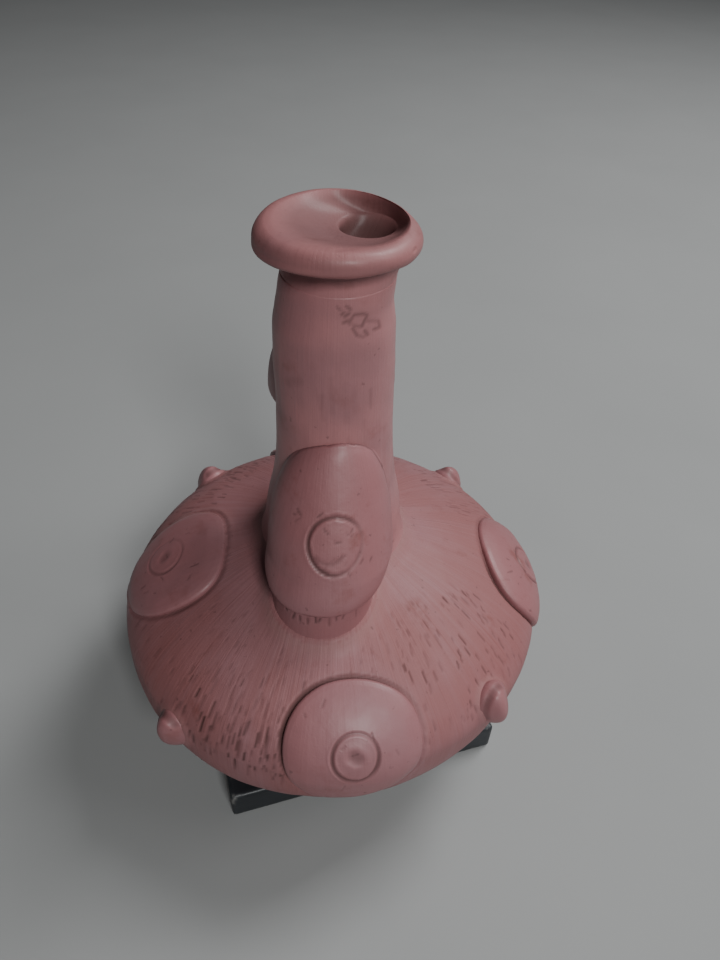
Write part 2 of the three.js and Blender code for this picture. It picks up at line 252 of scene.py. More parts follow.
@dataclass(frozen=True)
class ClayFinish:
    """Red earthenware, burnished to a satin, worn and a little dusty, with painted sheen on its drawn-up
    fillets and, where set, painted shade towards the top.
    """

    finish: Finish
    brushing: float
    top_shade_strength: float = 0.0
    body: Colour = (0.290, 0.110, 0.110, 1.0)
    dusty: Colour = (0.318, 0.148, 0.160, 1.0)
    worn: Colour = (0.205, 0.056, 0.047, 1.0)
    dark: Colour = (0.060, 0.022, 0.020, 1.0)
    # Painted sheen: a pale greyish pink.
    painted_sheen: Colour = (0.390, 0.225, 0.215, 1.0)
    roughness: float = 0.48
    coat: float = 0.16
    relief: float = 0.35 * MM

    def make(self) -> bpy.types.Material:
        """Builds the finish.

        Returns:
            The material.
        """
        tree = Tree(self.finish.value)
        place = tree.place()
        cloud = tree.noise(place, 19.0, 3.0, 0.55)
        patch = tree.noise(place, 74.0, 5.0, 0.62)
        grain = tree.noise(place, 900.0, 3.0, 0.6)
        stroke = tree.noise(tree.round_axis(place, 26.0, 26.0), 1.0, 4.0, 0.6)
        fine_stroke = tree.noise(tree.round_axis(place, 95.0, 55.0), 1.0, 3.0, 0.55)
        level = tree.noise(tree.stretched(place, (30.0, 30.0, 420.0)), 1.0, 3.0, 0.5)
        speck = tree.noise(place, 430.0, 2.0, 0.5).between(0.70, 0.78)
        incised = tree.trace(Trace.INCISED)
        crest = tree.trace(Trace.CREST)

        dusting = cloud.between(0.36, 0.66) * 0.8 + stroke.between(0.45, 0.75) * (0.3 * self.brushing)
        wear = patch.between(0.56, 0.74) * (0.25 + cloud.between(0.6, 0.35) * 0.5)
        colour = tree.mix(dusting, self.body, self.dusty)
        colour = tree.mix(wear, colour, self.worn)
        colour = tree.mix(fine_stroke.between(0.52, 0.78) * (0.34 * self.brushing), colour, self.worn)
        # Painted sheen on the drawn-up fillets, where the crest trace is.
        colour = tree.mix(crest * 0.30, colour, self.painted_sheen)
        colour = tree.mix(speck * 0.4, colour, self.dark)
        # Painted shade towards the top of the neck and lip, mixed in as the worn colour.
        colour = tree.mix(self.painted_top_shade(tree, place, patch), colour, self.worn)
        # Dark marks: dirt in the tool marks, and painted shade in the pad grooves, the funnel, under the
        # roll and at the lug roots.
        colour = tree.mix(incised * 0.92, colour, self.dark)

        roughness = self.roughness + patch * 0.16 + incised * 0.3 - stroke.between(0.4, 0.7) * 0.05
        brushed = fine_stroke * (0.42 * self.brushing) + stroke * (0.2 + 0.35 * self.brushing)
        height = grain * 0.18 + brushed + level * 0.10 + patch * 0.35
        tree.finish(colour, roughness, height, self.relief, self.coat)
        return tree.material

    def painted_top_shade(self, tree: Tree, place: Wire, patch: Wire) -> Wire:
        """Gives the painted shade that darkens the clay patchily towards the top of the bottle."""
        height = tree.wire("ShaderNodeSeparateXYZ", None, {0: place}, "Z")
        return height.between(0.150, 0.222) * self.top_shade_strength * (0.55 + patch * 0.9)


@dataclass(frozen=True)
class BlackWoodFinish:
    """A block stained black, with a faint grain and pale scuffs along its arrises."""

    stain: Colour = (0.013, 0.015, 0.018, 1.0)
    faded: Colour = (0.030, 0.034, 0.040, 1.0)
    bare: Colour = (0.250, 0.240, 0.225, 1.0)

    def make(self) -> bpy.types.Material:
        """Builds the finish.

        Returns:
            The material.
        """
        tree = Tree(Finish.BLACK_WOOD.value)
        place = tree.place()
        grain = tree.noise(tree.stretched(place, (25.0, 420.0, 420.0)), 1.0, 4.0, 0.6)
        cloud = tree.noise(place, 45.0, 4.0, 0.6)
        scuff = tree.noise(place, 260.0, 4.0, 0.7)
        colour = tree.mix(cloud.between(0.35, 0.7) * 0.7 + grain * 0.3, self.stain, self.faded)
        worn = tree.trace(Trace.CREST) * scuff.between(0.50, 0.66) * cloud.between(0.42, 0.6)
        colour = tree.mix(worn * 0.8, colour, self.bare)
        roughness = 0.36 + cloud * 0.25 + worn * 0.2
        tree.finish(colour, roughness, grain * 0.6 + scuff * 0.4, 0.15 * MM, 0.1)
        return tree.material


@dataclass(frozen=True)
class FloorFinish:
    """A plain pale matte sheet."""

    tone: Colour = (0.345, 0.348, 0.345, 1.0)
    shade: Colour = (0.310, 0.313, 0.311, 1.0)

    def make(self) -> bpy.types.Material:
        """Builds the finish.

        Returns:
            The material.
        """
        tree = Tree("pale_floor")
        cloud = tree.noise(tree.place(), 9.0, 3.0, 0.5)
        tree.finish(tree.mix(cloud, self.tone, self.shade), 0.8 + cloud * 0.1, cloud, 0.05 * MM, 0.0)
        return tree.material


# Numbers and places


def clamp(value: np.ndarray) -> np.ndarray:
    """Holds values between 0 and 1."""
    return np.clip(value, 0.0, 1.0)


def smooth_step(value: np.ndarray, low: float, high: float) -> np.ndarray:
    """Rises smoothly from 0 to 1 as a value goes from low to high."""
    part = clamp((value - low) / (high - low))
    return part * part * (3.0 - 2.0 * part)


def heap(side: np.ndarray, height: float, reach: float) -> np.ndarray:
    """Heaps clay up against a form, highest at the form's side."""
    return height * clamp(1.0 - side / reach) ** 2


def spread(count: int, low: float, high: float) -> list[float]:
    """Gives evenly spread values, both ends included."""
    return np.linspace(low, high, count).tolist()


def curve(stops: Stops) -> Callable[[float], float]:
    """Makes a function that runs in straight lines between pairs of a place and the value there."""
    places, values = zip(*stops)
    return lambda place: float(np.interp(place, places, values))


def polar(azimuth: float, radius: float, height: float, sway: float = 0.0) -> Vector:
    """Gives the point at an azimuth, a distance from the axis and a height."""
    turn = math.radians(azimuth)
    return Vector((radius * math.sin(turn) + sway, -radius * math.cos(turn), height))


def turned(angle: float) -> Matrix:
    """Gives the turn round the Z axis by an angle in degrees."""
    return Matrix.Rotation(math.radians(angle), 3, "Z")


def shift_towards(points: np.ndarray, azimuth: float, distance: np.ndarray) -> None:
    """Shifts points level towards an azimuth."""
    points[:, 0] += distance * math.sin(math.radians(azimuth))
    points[:, 1] -= distance * math.cos(math.radians(azimuth))


# Modelling


def deselect_all() -> None:
    """Leaves nothing selected."""
    bpy.ops.object.select_all(action="DESELECT")


def activate(piece: bpy.types.Object) -> None:
    """Makes a piece the only one selected.

    Args:
        piece: The piece.
    """
    deselect_all()
    piece.select_set(True)
    bpy.context.view_layer.objects.active = piece


def apply_modifier(piece: bpy.types.Object, kind: str, **settings: object) -> None:
    """Gives the active piece a modifier and applies it.

    Args:
        piece: The piece.
        kind: Blender's name of the modifier's type.
        settings: The modifier's settings, by name.
    """
    modifier = piece.modifiers.new(kind.lower(), kind)
    for name, setting in settings.items():
        setattr(modifier, name, setting)
    bpy.ops.object.modifier_apply(modifier=modifier.name)


def turn_outline(name: str, outline: Outline, steps: int) -> bpy.types.Object:
    """Turns an outline round the Z axis into a closed form.

    Args:
        name: The piece's name.
        outline: Points of (radius, height), from the axis to the axis or closed on itself.
        steps: Steps round the axis.

    Returns:
        The piece.
    """
    joined = 0.004 * MM
    deselect_all()
    bpy.ops.mesh.primitive_plane_add(size=MM)
    piece = bpy.context.object
    piece.name = piece.data.name = name
    bpy.ops.object.mode_set(mode="EDIT")
    bpy.ops.mesh.merge(type="COLLAPSE")
    points = [Vector((radius, 0.0, height)) for radius, height in outline]
    bpy.ops.transform.translate(value=points[0])
    for here, there in pairwise(points):
        bpy.ops.mesh.extrude_vertices_move(TRANSFORM_OT_translate={"value": there - here})
    bpy.ops.object.mode_set(mode="OBJECT")
    activate(piece)
    apply_modifier(
        piece, "SCREW", steps=steps, render_steps=steps, use_merge_vertices=True, merge_threshold=joined
    )
    bpy.ops.object.mode_set(mode="EDIT")
    bpy.ops.mesh.select_all(action="SELECT")
    bpy.ops.mesh.remove_doubles(threshold=joined)
    bpy.ops.mesh.normals_make_consistent(inside=False)
    bpy.ops.object.mode_set(mode="OBJECT")
    return piece


def rows_of(values: bpy.types.bpy_prop_collection, name: str) -> np.ndarray:
    """Reads one vector for each vertex of a mesh.

    Args:
        values: The mesh's vertices, or their normals.
        name: The property that holds the vector.

    Returns:
        One row of X, Y and Z for each vertex.
    """
    flat = np.empty(len(values) * 3)
    values.foreach_get(name, flat)
    return flat.reshape(-1, 3)


def points_of(piece: bpy.types.Object) -> np.ndarray:
    """Reads a mesh's points, one row of X, Y and Z for each."""
    return rows_of(piece.data.vertices, "co")


def move_points(piece: bpy.types.Object, points: np.ndarray) -> None:
    """Writes a mesh's points, one row of X, Y and Z for each."""
    piece.data.vertices.foreach_set("co", points.reshape(-1))
    piece.data.update()


def knead(piece: bpy.types.Object) -> None:
    """Gives a piece the unevenness of hand-worked clay. Pieces that touch move alike.

    Args:
        piece: The piece.
    """
    activate(piece)
    for size, strength in ((34 * MM, 1.1 * MM), (9 * MM, 0.26 * MM)):
        texture = bpy.data.textures.new("lumps", "CLOUDS")
        texture.noise_scale = size
        apply_modifier(piece, "DISPLACE", texture=texture, texture_coords="GLOBAL", strength=strength)


def record_trace(piece: bpy.types.Object, trace: Trace, values: np.ndarray) -> None:
    """Writes a vertex attribute, and keeps what is already there where that is stronger.

    Args:
        piece: The piece.
        trace: The attribute.
        values: Its value at each vertex.
    """
    attributes = piece.data.attributes
    layer = attributes.get(trace.value) or attributes.new(trace.value, "FLOAT", "POINT")
    kept = np.zeros(len(values), dtype=np.float32)
    layer.data.foreach_get("value", kept)
    layer.data.foreach_set("value", np.maximum(kept, values).astype(np.float32))


@dataclass
class Mark:
    """A stroke of a tool from one point to another, and how dark it is: dirt in most marks, painted shade in
    a few.
    """

    start: Vector
    end: Vector
    width: float
    depth: float
    stain: float


def engrave(piece: bpy.types.Object, marks: Iterable[Mark]) -> None:
    """Sinks marks into a piece, with a low burr along their sides, and records them for the finish.

    Args:
        piece: The piece.
        marks: The marks.
    """
    points = points_of(piece)
    sunk, raised, shade = (np.zeros(len(points)) for _ in range(3))
    for mark in marks:
        start, end = np.array(mark.start), np.array(mark.end)
        reach = 2.0 * mark.width
        low, high = np.minimum(start, end) - reach, np.maximum(start, end) + reach
        near = np.nonzero(((points > low) & (points < high)).all(axis=1))[0]
        run = end - start
        along = ((points[near] - start) @ run) / max(run @ run, 1e-12)
        nearest = start + clamp(along)[:, None] * run
        away = np.linalg.norm(points[near] - nearest, axis=1) / mark.width
        groove = clamp(1.0 - away**2)
        burr = clamp(1.0 - np.abs(away - 1.4) / 0.6) * 0.22
        sunk[near] = np.maximum(sunk[near], groove * mark.depth)
        raised[near] = np.maximum(raised[near], burr * mark.depth)
        shade[near] = np.maximum(shade[near], groove * mark.stain)
    raised = np.where(sunk > 0.0, 0.0, raised)
    normals = rows_of(piece.data.vertex_normals, "vector")
    move_points(piece, points + normals * (raised - sunk)[:, None])
    record_trace(piece, Trace.INCISED, shade)


def chain(
    points: Sequence[Vector],
    width: float,
    depth: Callable[[float], float],
    stain: Callable[[float], float],
) -> list[Mark]:
    """Draws one long mark through points.

    Args:
        points: The points.
        width: Half of the mark's width.
        depth: The depth at each share of the way.
        stain: How dark the mark is at each share of the way.

    Returns:
        The marks.
    """
    last = len(points) - 1
    shares = [(i + 0.5) / last for i in range(last)]
    return [
        Mark(here, there, width, depth(share), stain(share))
        for share, (here, there) in zip(shares, pairwise(points))
    ]


@dataclass
class Piece:
    """A finished piece, and what it stands for."""

    shape: bpy.types.Object
    finish: Finish
    nodes: tuple[str, ...]
    body: Body = Body.BOTTLE
    slot: Slot = Slot.CLAY

    def place(self, material: bpy.types.Material) -> None:
        """Dresses the piece and hands it to the frame.

        Args:
            material: The piece's finish.
        """
        self.shape.data.materials.clear()
        self.shape.data.materials.append(material)
        activate(self.shape)
        bpy.ops.object.shade_smooth()
        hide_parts(*self.nodes)
        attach(self.shape, self.body.value)
        log.info("%s: %d vertices, for %s", self.shape.name, len(self.shape.data.vertices), self.nodes)


# The bottle


@dataclass(frozen=True)
class Scoring:
    """A patch of the dome that a toothed tool has roughened with short radial strokes.

    Its rises are millimetres above the equator, and its share is the part of the strokes that took.
    """

    azimuths: tuple[float, float]
    rises: tuple[float, float]
    spacing: float
    length: float
    depth: float
    stain: float
    share: float


@dataclass
class Vessel:
    """The squat body: a bowl and a dome with one skin, hollow, with a hole under the neck."""

    radius: float = 84 * MM
    foot_radius: float = 37 * MM
    bowl_height: float = 44.4 * MM
    bowl_fullness: float = 2.8
    dome_height: float = 41.8 * MM
    dome_fullness: float = 1.68
    wall: float = 6.5 * MM
    neck_radius: float = 26.0 * MM
    drawn_up: float = 2.6 * MM
    drawn_reach: float = 7 * MM
    lug_fillet: tuple[float, float] = (0.8 * MM, 3 * MM)
    pad_fillet: tuple[float, float] = (1.5 * MM, 4.5 * MM)
    groove_middle: float = 0.5 * MM
    groove_half: float = 1.3 * MM
    sag: float = 2.6 * MM
    steps: int = 620
    low_rows: int = 20
    fine_from: float = -18 * MM
    row_height: float = 0.95 * MM
    inner_rows: int = 9
    scoring: tuple[Scoring, ...] = (
        Scoring((-47.0, -12.0), (1.0, 17.0), 2.5 * MM, 6.5 * MM, 0.36 * MM, 0.85, 0.72),
        Scoring((-50.0, -8.0), (17.0, 25.0), 2.6 * MM, 4.5 * MM, 0.22 * MM, 0.50, 0.50),
        Scoring((-78.0, -48.0), (-4.0, 16.0), 3.6 * MM, 4.0 * MM, 0.18 * MM, 0.35, 0.35),
        Scoring((-60.0, 60.0), (26.0, 33.0), 3.4 * MM, 2.4 * MM, 0.12 * MM, 0.30, 0.25),
        Scoring((20.0, 62.0), (8.0, 30.0), 4.2 * MM, 3.8 * MM, 0.28 * MM, 0.70, 0.42),
        Scoring((100.0, 160.0), (2.0, 30.0), 3.4 * MM, 4.5 * MM, 0.24 * MM, 0.55, 0.45),
        Scoring((200.0, 262.0), (0.0, 30.0), 3.0 * MM, 5.5 * MM, 0.28 * MM, 0.62, 0.55),
        Scoring((150.0, 210.0), (22.0, 33.0), 3.2 * MM, 3.0 * MM, 0.18 * MM, 0.45, 0.45),
    )
    foot_z: float = field(init=False)
    equator_z: float = field(init=False)
    line: np.ndarray = field(init=False)
    lengths: np.ndarray = field(init=False)

    def __post_init__(self) -> None:
        """Works out the outline that everything on the body is laid along."""
        self.foot_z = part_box("body_lower")[0].z
        self.equator_z = self.foot_z + self.bowl_height
        fine = 600
        bowl = self.quarter(self.radius, self.bowl_depth(), self.bowl_fullness, self.foot_radius, -1, fine)
        dome = self.quarter(self.radius, self.dome_height, self.dome_fullness, 0.0, 1, fine)
        self.line = np.array(bowl + dome[::-1][1:])
        steps = np.linalg.norm(np.diff(self.line, axis=0), axis=1)
        self.lengths = np.concatenate([[0.0], np.cumsum(steps)])

    def bowl_depth(self) -> float:
        """Gives the height of the full quarter oval that the bowl is a part of."""
        share = 1.0 - (self.foot_radius / self.radius) ** self.bowl_fullness
        return self.bowl_height / share ** (1.0 / self.bowl_fullness)

    def dome_rise(self, radius: float) -> float:
        """Gives the rise of the dome's skin above the equator at a distance from the axis."""
        share = 1.0 - (radius / self.radius) ** self.dome_fullness
        return self.dome_height * share ** (1.0 / self.dome_fullness)

    def quarter(
        self, radius: float, height: float, fullness: float, to_radius: float, sign: int, count: int
    ) -> Outline:
        """Draws a quarter oval between a smaller radius and the equator.

        Args:
            radius: The radius at the equator.
            height: The oval's height.
            fullness: Exponent of the oval.
            to_radius: The smaller radius, where the points start.
            sign: 1 above the equator and -1 below it.
            count: Number of points.

        Returns:
            Points of (radius, height).
        """
        start = math.acos((to_radius / radius) ** (fullness / 2.0))
        power = 2.0 / fullness
        return [
            (radius * math.cos(a) ** power, self.equator_z + sign * height * math.sin(a) ** power)
            for a in spread(count, start, 0.0)
        ]

    def length_at(self, rise: float) -> float:
        """Gives the length along the outline up to a rise above the equator."""
        return float(np.interp(self.equator_z + rise, self.line[:, 1], self.lengths))

    def rise_at(self, length: float) -> float:
        """Gives the rise above the equator at a length along the outline."""
        return float(np.interp(length, self.lengths, self.line[:, 1])) - self.equator_z

    def on_line(self, length: np.ndarray) -> tuple[np.ndarray, np.ndarray]:
        """Finds places on the outline.

        Args:
            length: Lengths along the outline, from the foot.

        Returns:
            The points of (radius, height), and the outward normals there.
        """
        step = 0.4 * MM
        here, ahead, behind = (
            np.stack([np.interp(length + shift, self.lengths, self.line[:, i]) for i in (0, 1)], axis=-1)
            for shift in (0.0, step, -step)
        )
        run = ahead - behind
        run /= np.linalg.norm(run, axis=-1, keepdims=True)
        return here, np.stack([run[..., 1], -run[..., 0]], axis=-1)

    def wrap(self, flat: np.ndarray, azimuth: float, rise: float) -> np.ndarray:
        """Wraps points made on the Z axis round the body.

        Args:
            flat: Points whose X runs round the body, Y up its outline and Z outwards.
            azimuth: Where the Z axis goes, in degrees.
            rise: Its height above the equator.

        Returns:
            The wrapped points.
        """
        ground, normal = self.on_line(self.length_at(rise) + flat[:, 1])
        reach = ground[:, 0] + normal[:, 0] * flat[:, 2]
        turn = math.radians(azimuth) + flat[:, 0] / np.maximum(ground[:, 0], MM)
        height = ground[:, 1] + normal[:, 1] * flat[:, 2]
        return self.settle(np.stack([reach * np.sin(turn), -reach * np.cos(turn), height], axis=-1))

    def unwrap(self, points: np.ndarray, azimuth: float, rise: float) -> tuple[np.ndarray, np.ndarray]:
        """Finds where points of the bare body lie on the sheet that wrap lays on it.

        Args:
            points: Points of the body, before it settles.
            azimuth: Where the sheet's middle goes, in degrees.
            rise: Its height above the equator.

        Returns:
            The distances round the body and up its outline.
        """
        turn = np.arctan2(points[:, 0], -points[:, 1]) - math.radians(azimuth)
        turn = (turn + math.pi) % math.tau - math.pi
        around = turn * np.hypot(points[:, 0], points[:, 1])
        return around, np.interp(points[:, 2], self.line[:, 1], self.lengths) - self.length_at(rise)

    def spot(self, azimuth: float, rise: float) -> Vector:
        """Gives the point of the body's skin at an azimuth and a rise above the equator."""
        return Vector(self.wrap(np.zeros((1, 3)), azimuth, rise)[0])

    def settle(self, points: np.ndarray) -> np.ndarray:
        """Lets the bowl sag towards its left, as the real one does.

        Args:
            points: The points.

        Returns:
            The points after the sag.
        """
        held_z = self.foot_z + 8 * MM
        low = 1.0 - smooth_step(points[:, 2], held_z, self.equator_z + 6 * MM)
        settled = points.copy()
        settled[:, 0] -= self.sag * low * smooth_step(points[:, 2], self.foot_z, held_z)
        return settled

    def outline(self) -> Outline:
        """Draws the shell's outline: up the outside, over the hole's edge and down the inside.

        Returns:
            Points of (radius, height).
        """
        fine_from = self.length_at(self.fine_from)
        top = self.length_at(self.dome_rise(BORE_RADIUS))
        at = [
            *spread(self.low_rows, 0.0, fine_from)[:-1],
            *spread(round((top - fine_from) / self.row_height), fine_from, top),
        ]
        outside = [tuple(point) for point in self.on_line(np.array(at))[0]]
        radius, foot_radius = self.radius - self.wall, self.foot_radius - self.wall
        height, drop = self.dome_height - self.wall, self.bowl_height - self.wall
        dome = self.quarter(radius, height, self.dome_fullness, BORE_RADIUS, 1, self.inner_rows)
        bowl = self.quarter(radius, drop, self.bowl_fullness, foot_radius, -1, self.inner_rows)
        inside = dome + bowl[::-1][1:]
        under = [(self.foot_radius * share, self.foot_z) for share in (0.0, 0.6)]
        return [*under, *outside, *inside, (0.0, inside[-1][1])]

    def strokes(self) -> list[Mark]:
        """Draws the short radial strokes of the tool that roughened the dome.

        Returns:
            The marks.
        """
        draw = random.Random(7)
        marks = []
        for patch in self.scoring:
            start, high = (self.length_at(rise * MM) for rise in patch.rises)
            while start < high:
                ring = self.on_line(np.array([start]))[0][0][0]
                step = math.degrees(patch.spacing / ring)
                azimuth = patch.azimuths[0] + draw.uniform(0.0, step)
                while azimuth < patch.azimuths[1]:
                    if draw.random() < patch.share:
                        turn = azimuth + draw.uniform(-0.35, 0.35) * step
                        top = start + draw.uniform(-0.4, 0.4) * patch.length
                        foot = top - patch.length * draw.uniform(0.35, 1.3)
                        marks.append(Mark(
                            self.spot(turn + draw.gauss(0.12, 0.12), self.rise_at(top)),
                            self.spot(turn - draw.gauss(0.12, 0.12), self.rise_at(foot)),
                            draw.uniform(0.38, 0.58) * MM,
                            patch.depth * draw.uniform(0.4, 1.3),
                            patch.stain * draw.uniform(0.45, 1.25),
                        ))
                    azimuth += step
                start += patch.length * 0.8
        return marks

    def draw_up(
        self, shape: bpy.types.Object, pads: Sequence[Pad], lugs: Sequence[Lug], lobe: Lobe
    ) -> None:
        """Draws the clay up round what is luted to the body, and presses grooves round the pads, with
        painted shade in the grooves and painted sheen on the fillets.

        Args:
            shape: The body, before it settles.
            pads: The pads on it.
            lugs: The lugs on it.
            lobe: The lobe that stands on it.
        """
        points = points_of(shape)
        from_axis = np.hypot(points[:, 0], points[:, 1])
        outer = np.abs(from_axis - np.interp(points[:, 2], self.line[:, 1], self.line[:, 0])) < MM
        stem = lobe.stem_centre()
        from_stem = np.hypot(points[:, 0] - stem.x, points[:, 1] - stem.y)
        lift = np.zeros(len(points))
        groove = np.zeros(len(points))
        for side in (from_axis - self.neck_radius, from_stem - lobe.foot_radius + MM):
            fillet = heap(side, self.drawn_up, self.drawn_reach)
            lift = np.maximum(lift, (points[:, 2] > self.equator_z) * fillet)
        for lug in lugs:
            around, up = self.unwrap(points, lug.azimuth, lug.rise)
            side = np.hypot(around / lug.pinch, up) - lug.radius
            lift = np.maximum(lift, heap(side, *self.lug_fillet))
        for pad in pads:
            around, up = self.unwrap(points, pad.azimuth, pad.rise)
            turn = np.arctan2(up, around)
            side = np.hypot(around, up) - pad.radius * pad.wobble(turn)
            depth = pad.groove_depth(turn)
            lift = np.maximum(lift, (1.0 - clamp(depth / (0.4 * MM))) * heap(side, *self.pad_fillet))
            across = (side - self.groove_middle) / self.groove_half
            groove = np.maximum(groove, depth * clamp(1.0 - across**2))
        lift = np.minimum(lift, self.drawn_up) * outer * (groove < 0.05 * MM)
        normals = rows_of(shape.data.vertex_normals, "vector")
        move_points(shape, points + normals * (lift - groove * outer)[:, None])
        # Painted shade in the grooves round the pads, as dark as they are deep.
        record_trace(shape, Trace.INCISED, np.clip(groove * outer / (0.9 * MM), 0.0, 0.85))
        # Painted sheen on the drawn-up fillets round the neck, the lobe's stem, the lugs and the pads.
        record_trace(shape, Trace.CREST, clamp(lift / (1.6 * MM)) * (lift < 2.2 * MM))

    def build(self, pads: Sequence[Pad], lugs: Sequence[Lug], lobe: Lobe) -> Piece:
        """Models the body.

        Args:
            pads: The pads on it.
            lugs: The lugs on it.
            lobe: The lobe that stands on it.

        Returns:
            The piece.
        """
        shape = turn_outline("vessel_body", self.outline(), self.steps)
        self.draw_up(shape, pads, lugs, lobe)
        move_points(shape, self.settle(points_of(shape)))
        knead(shape)
        engrave(shape, self.strokes())
        points = points_of(shape)
        points[:, 2] = np.maximum(points[:, 2], self.foot_z)
        move_points(shape, points)
        return Piece(shape, Finish.SCORED, ("body_lower", "body_upper"))


@dataclass
class Pad:
    """A domed disc luted on the shoulder, with an incised ring and a dimple.

    The groove round it and the ring on it have stops of an angle from its right side and a depth in
    millimetres. The groove's depth also sets how much shade is painted into it.
    """

    node: str
    azimuth: float
    rise: float
    seed: int
    groove: Stops
    ring_depth: Stops
    dimple: float
    radius: float = 24.6 * MM
    thickness: float = 3.8 * MM
    edge: float = 2.2 * MM
    edge_round: float = 1.5 * MM
    ring_radius: float = 7.7 * MM
    dimple_radius: float = 2.6 * MM
    root: float = -2.0 * MM
    steps: int = 240
    rows: int = 52

    def face(self, reach: float) -> float:
        """Gives the height of the pad's face at a distance from its middle."""
        return self.thickness - (self.thickness - self.edge) * (reach / self.radius) ** 2.2

    def wobble(self, turn: np.ndarray) -> np.ndarray:
        """Gives how much the pad's edge departs from a circle.

        Args:
            turn: Angles round the pad, in radians.

        Returns:
            The factors on its radius.
        """
        draw = random.Random(self.seed)
        waves = [(k, draw.uniform(0.003, 0.012), draw.uniform(0.0, math.tau)) for k in (2, 3, 5)]
        return 1.0 + sum(size * np.sin(turn * k + phase) for k, size, phase in waves)

    def groove_depth(self, turn: np.ndarray) -> np.ndarray:
        """Gives the depth of the groove round the pad at angles from its right side, in radians."""
        angles, depths = zip(*self.groove)
        return np.interp(np.mod(np.degrees(turn), 360.0), angles, depths) * MM

    def outline(self) -> Outline:
        """Draws the pad's outline from the middle of its face over the rounded edge to its underside.

        Returns:
            Points of (radius, height).
        """
        bend = self.edge_round
        face = [(reach, self.face(reach)) for reach in spread(self.rows, 0.0, self.radius - 1.3 * bend)]
        rim = [
            (self.radius - bend + bend * math.sin(a), self.edge - bend + bend * math.cos(a))
            for a in spread(7, 0.1, math.pi / 2)
        ]
        return [*face, *rim, (self.radius, self.root), (0.0, self.root)]

    def at(self, vessel: Vessel, across: float, up: float) -> Vector:
        """Gives a point of the pad's face, from its sides in millimetres."""
        flat = np.array([(across * MM, up * MM, self.face(math.hypot(across, up) * MM))])
        return Vector(vessel.wrap(flat, self.azimuth, self.rise)[0])

    def marks(self, vessel: Vessel) -> list[Mark]:
        """Draws the incised ring, the dimple and a few nicks, as uneven as the hand that made them.

        Args:
            vessel: The body.

        Returns:
            The marks.
        """
        draw = random.Random(self.seed)
        sag = draw.uniform(-0.4, 0.4)
        reach = self.ring_radius / MM
        ring = [
            self.at(
                vessel,
                (reach + sag * math.sin(a)) * math.cos(a),
                (reach - sag * math.cos(a)) * math.sin(a),
            )
            for a in spread(61, 0.0, math.tau)
        ]
        depth = curve([(angle / 360.0, value * MM) for angle, value in self.ring_depth])
        marks = chain(ring, RING_WIDTH, depth, lambda share: min(0.75, depth(share) / (0.8 * MM)))
        dimple = (self.at(vessel, -0.5, 0.2), self.at(vessel, 0.6, -0.6))
        marks.append(Mark(*dimple, self.dimple_radius, self.dimple, 0.38))
        marks.append(Mark(self.at(vessel, -0.9, 0.6), self.at(vessel, 0.9, 1.2), 0.7 * MM, 0.2 * MM, 0.6))
        for _ in range(9):
            across, up = draw.uniform(-17, 17), draw.uniform(-17, 17)
            start = self.at(vessel, across, up)
            end = self.at(vessel, across + draw.gauss(0, 0.8), up + draw.uniform(0.4, 3.0))
            marks.append(Mark(start, end, 0.5 * MM, 0.12 * MM, draw.uniform(0.2, 0.6)))
        return marks

    def build(self, vessel: Vessel) -> Piece:
        """Models the pad.

        Args:
            vessel: The body.

        Returns:
            The piece.
        """
        shape = turn_outline(self.node.replace("disc", "pad"), self.outline(), self.steps)
        flat = points_of(shape)
        turn = np.arctan2(flat[:, 1], flat[:, 0])
        outer = smooth_step(np.hypot(flat[:, 0], flat[:, 1]), 0.72 * self.radius, self.radius)
        blend = 1.0 - clamp(self.groove_depth(turn) / (0.5 * MM))
        flat[:, 2] -= np.where(flat[:, 2] > -MM, outer * (0.3 + 0.9 * blend) * MM, 0.0)
        flat[:, :2] *= self.wobble(turn)[:, None]
        move_points(shape, vessel.wrap(flat, self.azimuth, self.rise))
        knead(shape)
        engrave(shape, self.marks(vessel))
        return Piece(shape, Finish.SMOOTH, (self.node,))


@dataclass
class Lug:
    """A small lug pinched between two fingers to a blunt upright ridge."""

    node: str
    azimuth: float
    rise: float
    tilt: float
    seed: int
    radius: float = 8.4 * MM
    reach: float = 6.2 * MM
    fullness: float = 2.3
    pinch: float = 0.9
    ridge: float = 0.45
    root: float = -4 * MM
    steps: int = 72

    def outline(self) -> Outline:
        """Draws the lug's outline from a root inside the body up the flank and over its blunt end.

        Returns:
            Points of (radius, height).
        """
        power = 2.0 / self.fullness
        dome = [
            (self.radius * math.cos(a) ** power, self.reach * math.sin(a) ** power)
            for a in spread(26, 0.0, math.pi / 2)
        ]
        return [(0.0, self.root), (self.radius, self.root), *dome[:-1], (0.0, self.reach)]

    def build(self, vessel: Vessel) -> Piece:
        """Models the lug.

        Args:
            vessel: The body.

        Returns:
            The piece.
        """
        shape = turn_outline(self.node.replace("nub", "lug"), self.outline(), self.steps)
        points = points_of(shape)
        part = clamp(points[:, 2] / self.reach)
        draw = random.Random(self.seed)
        points[:, 0] *= self.pinch + (self.ridge - self.pinch) * part**0.7
        points[:, 0] += draw.uniform(-0.9, 0.9) * MM * part**2
        centre = vessel.spot(self.azimuth, self.rise)
        stand = turned(self.azimuth) @ Matrix.Rotation(math.radians(90.0 - self.tilt), 3, "X")
        move_points(shape, points @ np.array(stand).T + np.array(centre))
        knead(shape)
        # The crease along the upper side of the lug's root, darkened with painted shade.
        wide, tall = 0.86 * self.radius, 0.92 * self.radius
        crease = [
            centre + stand @ Vector((wide * math.cos(a), tall * math.sin(a), 1.6 * MM))
            for a in spread(12, 1.1, 3.5)
        ]
        engrave(shape, chain(crease, 1.8 * MM, lambda share: 0.35 * MM, lambda share: 0.5))
        return Piece(shape, Finish.SMOOTH, (self.node,))


